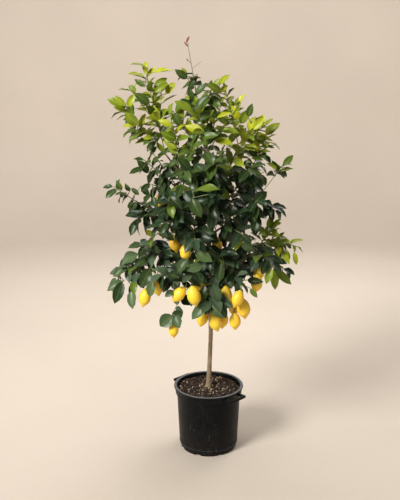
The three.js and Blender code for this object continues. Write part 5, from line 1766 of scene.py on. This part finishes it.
class LEMONTREE_OT_lemons(bpy.types.Operator):
    """Hang the lemons: each a ball shaped station by station to its neck, belly and nipple"""

    bl_idname = "lemontree.lemons"
    bl_label = "Lemons"

    def execute(self, context):
        peel = peel_material(settings_of(context, "fruit"))
        draw = seeded(SEED + 3)
        steps = np.linspace(0, 1, len(FRUIT))
        for name, (_, _, middle, lean, length) in LEMONS.items():
            bpy.ops.object.select_all(action="DESELECT")
            bpy.ops.mesh.primitive_uv_sphere_add(segments=28, ring_count=26, radius=1)
            piece = bpy.context.object
            piece.name = piece.data.name = name.replace("lemon", "fruit")
            axis = lemon_axis(lean)
            side = np.array((math.cos(math.radians(lean)), 0, math.sin(math.radians(lean))))
            other = np.cross(axis, side)
            radius, luck, phase = length * LEMON_SLENDERNESS / 2, draw(), draw() * 6.3
            bow = 0.02 * length * (draw() - 0.5)
            for vertex in piece.data.vertices:
                share = math.acos(max(-1, min(1, vertex.co.z))) / math.pi
                turn = math.atan2(vertex.co.y, vertex.co.x) + phase
                along = np.interp(share, steps, [row[0] for row in FRUIT]) * length
                reach = np.interp(share, steps, [row[1] for row in FRUIT]) * radius
                ripple = noise.noise((math.cos(turn) * 1.3, math.sin(turn) * 1.3, along * 0.05 + 9 * luck))
                reach *= 1 + 0.05 * ripple + 0.02 * math.cos(2 * turn)
                point = np.array(middle) + axis * along + side * (bow * math.sin(math.pi * share))
                point = point + (side * math.cos(turn) + other * math.sin(turn)) * reach
                vertex.co = Vector(point) * MM
            bpy.ops.object.mode_set(mode="EDIT")
            bpy.ops.mesh.select_all(action="SELECT")
            bpy.ops.mesh.normals_make_consistent(inside=False)
            bpy.ops.object.mode_set(mode="OBJECT")
            bpy.ops.object.shade_smooth()
            tone = piece.data.color_attributes.new("tone", "FLOAT_COLOR", "CORNER")
            top = np.array(middle) + axis * length / 2
            for loop in piece.data.loops:
                far = math.dist(np.array(piece.data.vertices[loop.vertex_index].co) / MM, top)
                green = max(0, 1 - far / (16 + 16 * luck)) * (0.4 + 0.6 * luck)
                tone.data[loop.index].color = (green, luck, 0, 1)
            piece.data.materials.clear()
            piece.data.materials.append(peel)
            finish_piece(piece, "lemon_peel", name)
        return {"FINISHED"}


# ---------- studio ----------
def area_light(name, place, aim, size, power, colour):
    light = bpy.data.lights.new(name, "AREA")
    light.shape, light.size, light.energy, light.color = "DISK", size, power, colour
    lamp = bpy.data.objects.new(name, light)
    lamp.location = place
    lamp.rotation_euler = (Vector(aim) - Vector(place)).to_track_quat("-Z", "Y").to_euler()
    bpy.context.collection.objects.link(lamp)


# Lights: place, aim, size in metres, the setting that holds the power, and colour.
LIGHTS = {
    "Key": ((-3.4, -3.6, 4.0), (0, 0, 0.9), 2.2, "key_power", (1.0, 0.97, 0.92)),
    "Fill": ((3.2, -2.2, 1.8), (0, 0, 0.9), 2.4, "fill_power", (0.92, 0.96, 1.0)),
    "Back": ((2.3, 2.9, 3.9), (0, 0, 1.2), 2.6, "back_power", (1.0, 0.98, 0.95)),
    "Backdrop": ((0, 1.4, 4.4), (0, 6, 1.2), 2.4, "wall_power", (1.0, 0.97, 0.93)),
}
SKY_COLOUR = (0.86, 0.78, 0.68)
CAMERA_PLACE = (-0.041, -3.0, 1.6)
CAMERA_TILT = 78  # degrees, 12 below level

# The floor's rings, radius and height in metres: flat, then swept up all round into a seamless wall.
FLOOR_RINGS = (
    (5.2, 0.0), (5.6, 0.04), (6.0, 0.16), (6.4, 0.38), (6.7, 0.68), (6.9, 1.05), (7.0, 1.5), (7.0, 6.0),
)


class LEMONTREE_OT_studio(bpy.types.Operator):
    """Set the floor, the soft lights and the camera"""

    bl_idname = "lemontree.studio"
    bl_label = "Studio"

    def execute(self, context):
        settings = settings_of(context, "studio")
        bpy.ops.object.select_all(action="DESELECT")
        bpy.ops.mesh.primitive_circle_add(vertices=96, radius=FLOOR_RINGS[0][0], fill_type="NGON")
        floor = bpy.context.object
        floor.name = floor.data.name = "floor"
        bpy.ops.object.mode_set(mode="EDIT")
        bpy.ops.mesh.select_all(action="SELECT")
        bpy.ops.mesh.select_mode(type="EDGE")
        for (radius, height), (wide, high) in zip(FLOOR_RINGS, FLOOR_RINGS[1:]):
            bpy.ops.mesh.extrude_edges_move(TRANSFORM_OT_translate={"value": (0, 0, high - height)})
            bpy.ops.transform.resize(value=(wide / radius, wide / radius, 1), center_override=(0, 0, high))
        bpy.ops.object.mode_set(mode="OBJECT")
        bpy.ops.object.shade_smooth()
        floor.data.materials.append(floor_material(settings))
        floor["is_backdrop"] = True
        world = bpy.data.worlds.new("Soft room")
        world.use_nodes = True
        sky = world.node_tree.nodes["Background"]
        sky.inputs["Color"].default_value = rgb(SKY_COLOUR)
        sky.inputs["Strength"].default_value = settings.sky
        context.scene.world = world
        context.scene.view_settings.view_transform = "Standard"
        for name, (place, aim, size, power, colour) in LIGHTS.items():
            area_light(name, place, aim, size, getattr(settings, power), colour)
        lens = bpy.data.cameras.new("Camera")
        lens.sensor_fit, lens.sensor_height, lens.lens = "VERTICAL", 24, settings.lens
        lens.clip_end = 60
        camera = bpy.data.objects.new("Camera", lens)
        camera.location = CAMERA_PLACE
        camera.rotation_euler = (math.radians(CAMERA_TILT), 0, 0)
        context.collection.objects.link(camera)
        context.scene.camera = camera
        return {"FINISHED"}


class LEMONTREE_PT_panel(bpy.types.Panel):
    """Lists what can be made, with its settings"""

    bl_idname = "LEMONTREE_PT_panel"
    bl_label = "Lemon tree"
    bl_space_type = "VIEW_3D"
    bl_region_type = "UI"
    bl_category = "Lemon tree"

    def draw(self, context):
        for name, operator in ORDER:
            box = self.layout.box()
            box.operator(operator.bl_idname)
            settings = settings_of(context, name)
            for key in SETTINGS[name].__annotations__:
                box.prop(settings, key)


ORDER = (
    ("container", LEMONTREE_OT_container),
    ("mix", LEMONTREE_OT_potting_mix),
    ("wood", LEMONTREE_OT_wood),
    ("leaves", LEMONTREE_OT_leafy_shoots),
    ("fruit", LEMONTREE_OT_lemons),
    ("studio", LEMONTREE_OT_studio),
)


def register():
    for name, group in SETTINGS.items():
        bpy.utils.register_class(group)
        setattr(bpy.types.Scene, f"lemon_tree_{name}", PointerProperty(type=group))
    for _, operator in ORDER:
        bpy.utils.register_class(operator)
    bpy.utils.register_class(LEMONTREE_PT_panel)


def unregister():
    bpy.utils.unregister_class(LEMONTREE_PT_panel)
    for _, operator in reversed(ORDER):
        bpy.utils.unregister_class(operator)
    for name, group in SETTINGS.items():
        delattr(bpy.types.Scene, f"lemon_tree_{name}")
        bpy.utils.unregister_class(group)


def main():
    register()
    for operator in (
        bpy.ops.lemontree.container,
        bpy.ops.lemontree.potting_mix,
        bpy.ops.lemontree.wood,
        bpy.ops.lemontree.leafy_shoots,
        bpy.ops.lemontree.lemons,
        bpy.ops.lemontree.studio,
    ):
        operator()
    boxes = {"cad": CAD_BOX, "visual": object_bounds()}
    {name: [list(corner) for corner in box] for name, box in boxes.items()}


if __name__ == "__main__":
    main()
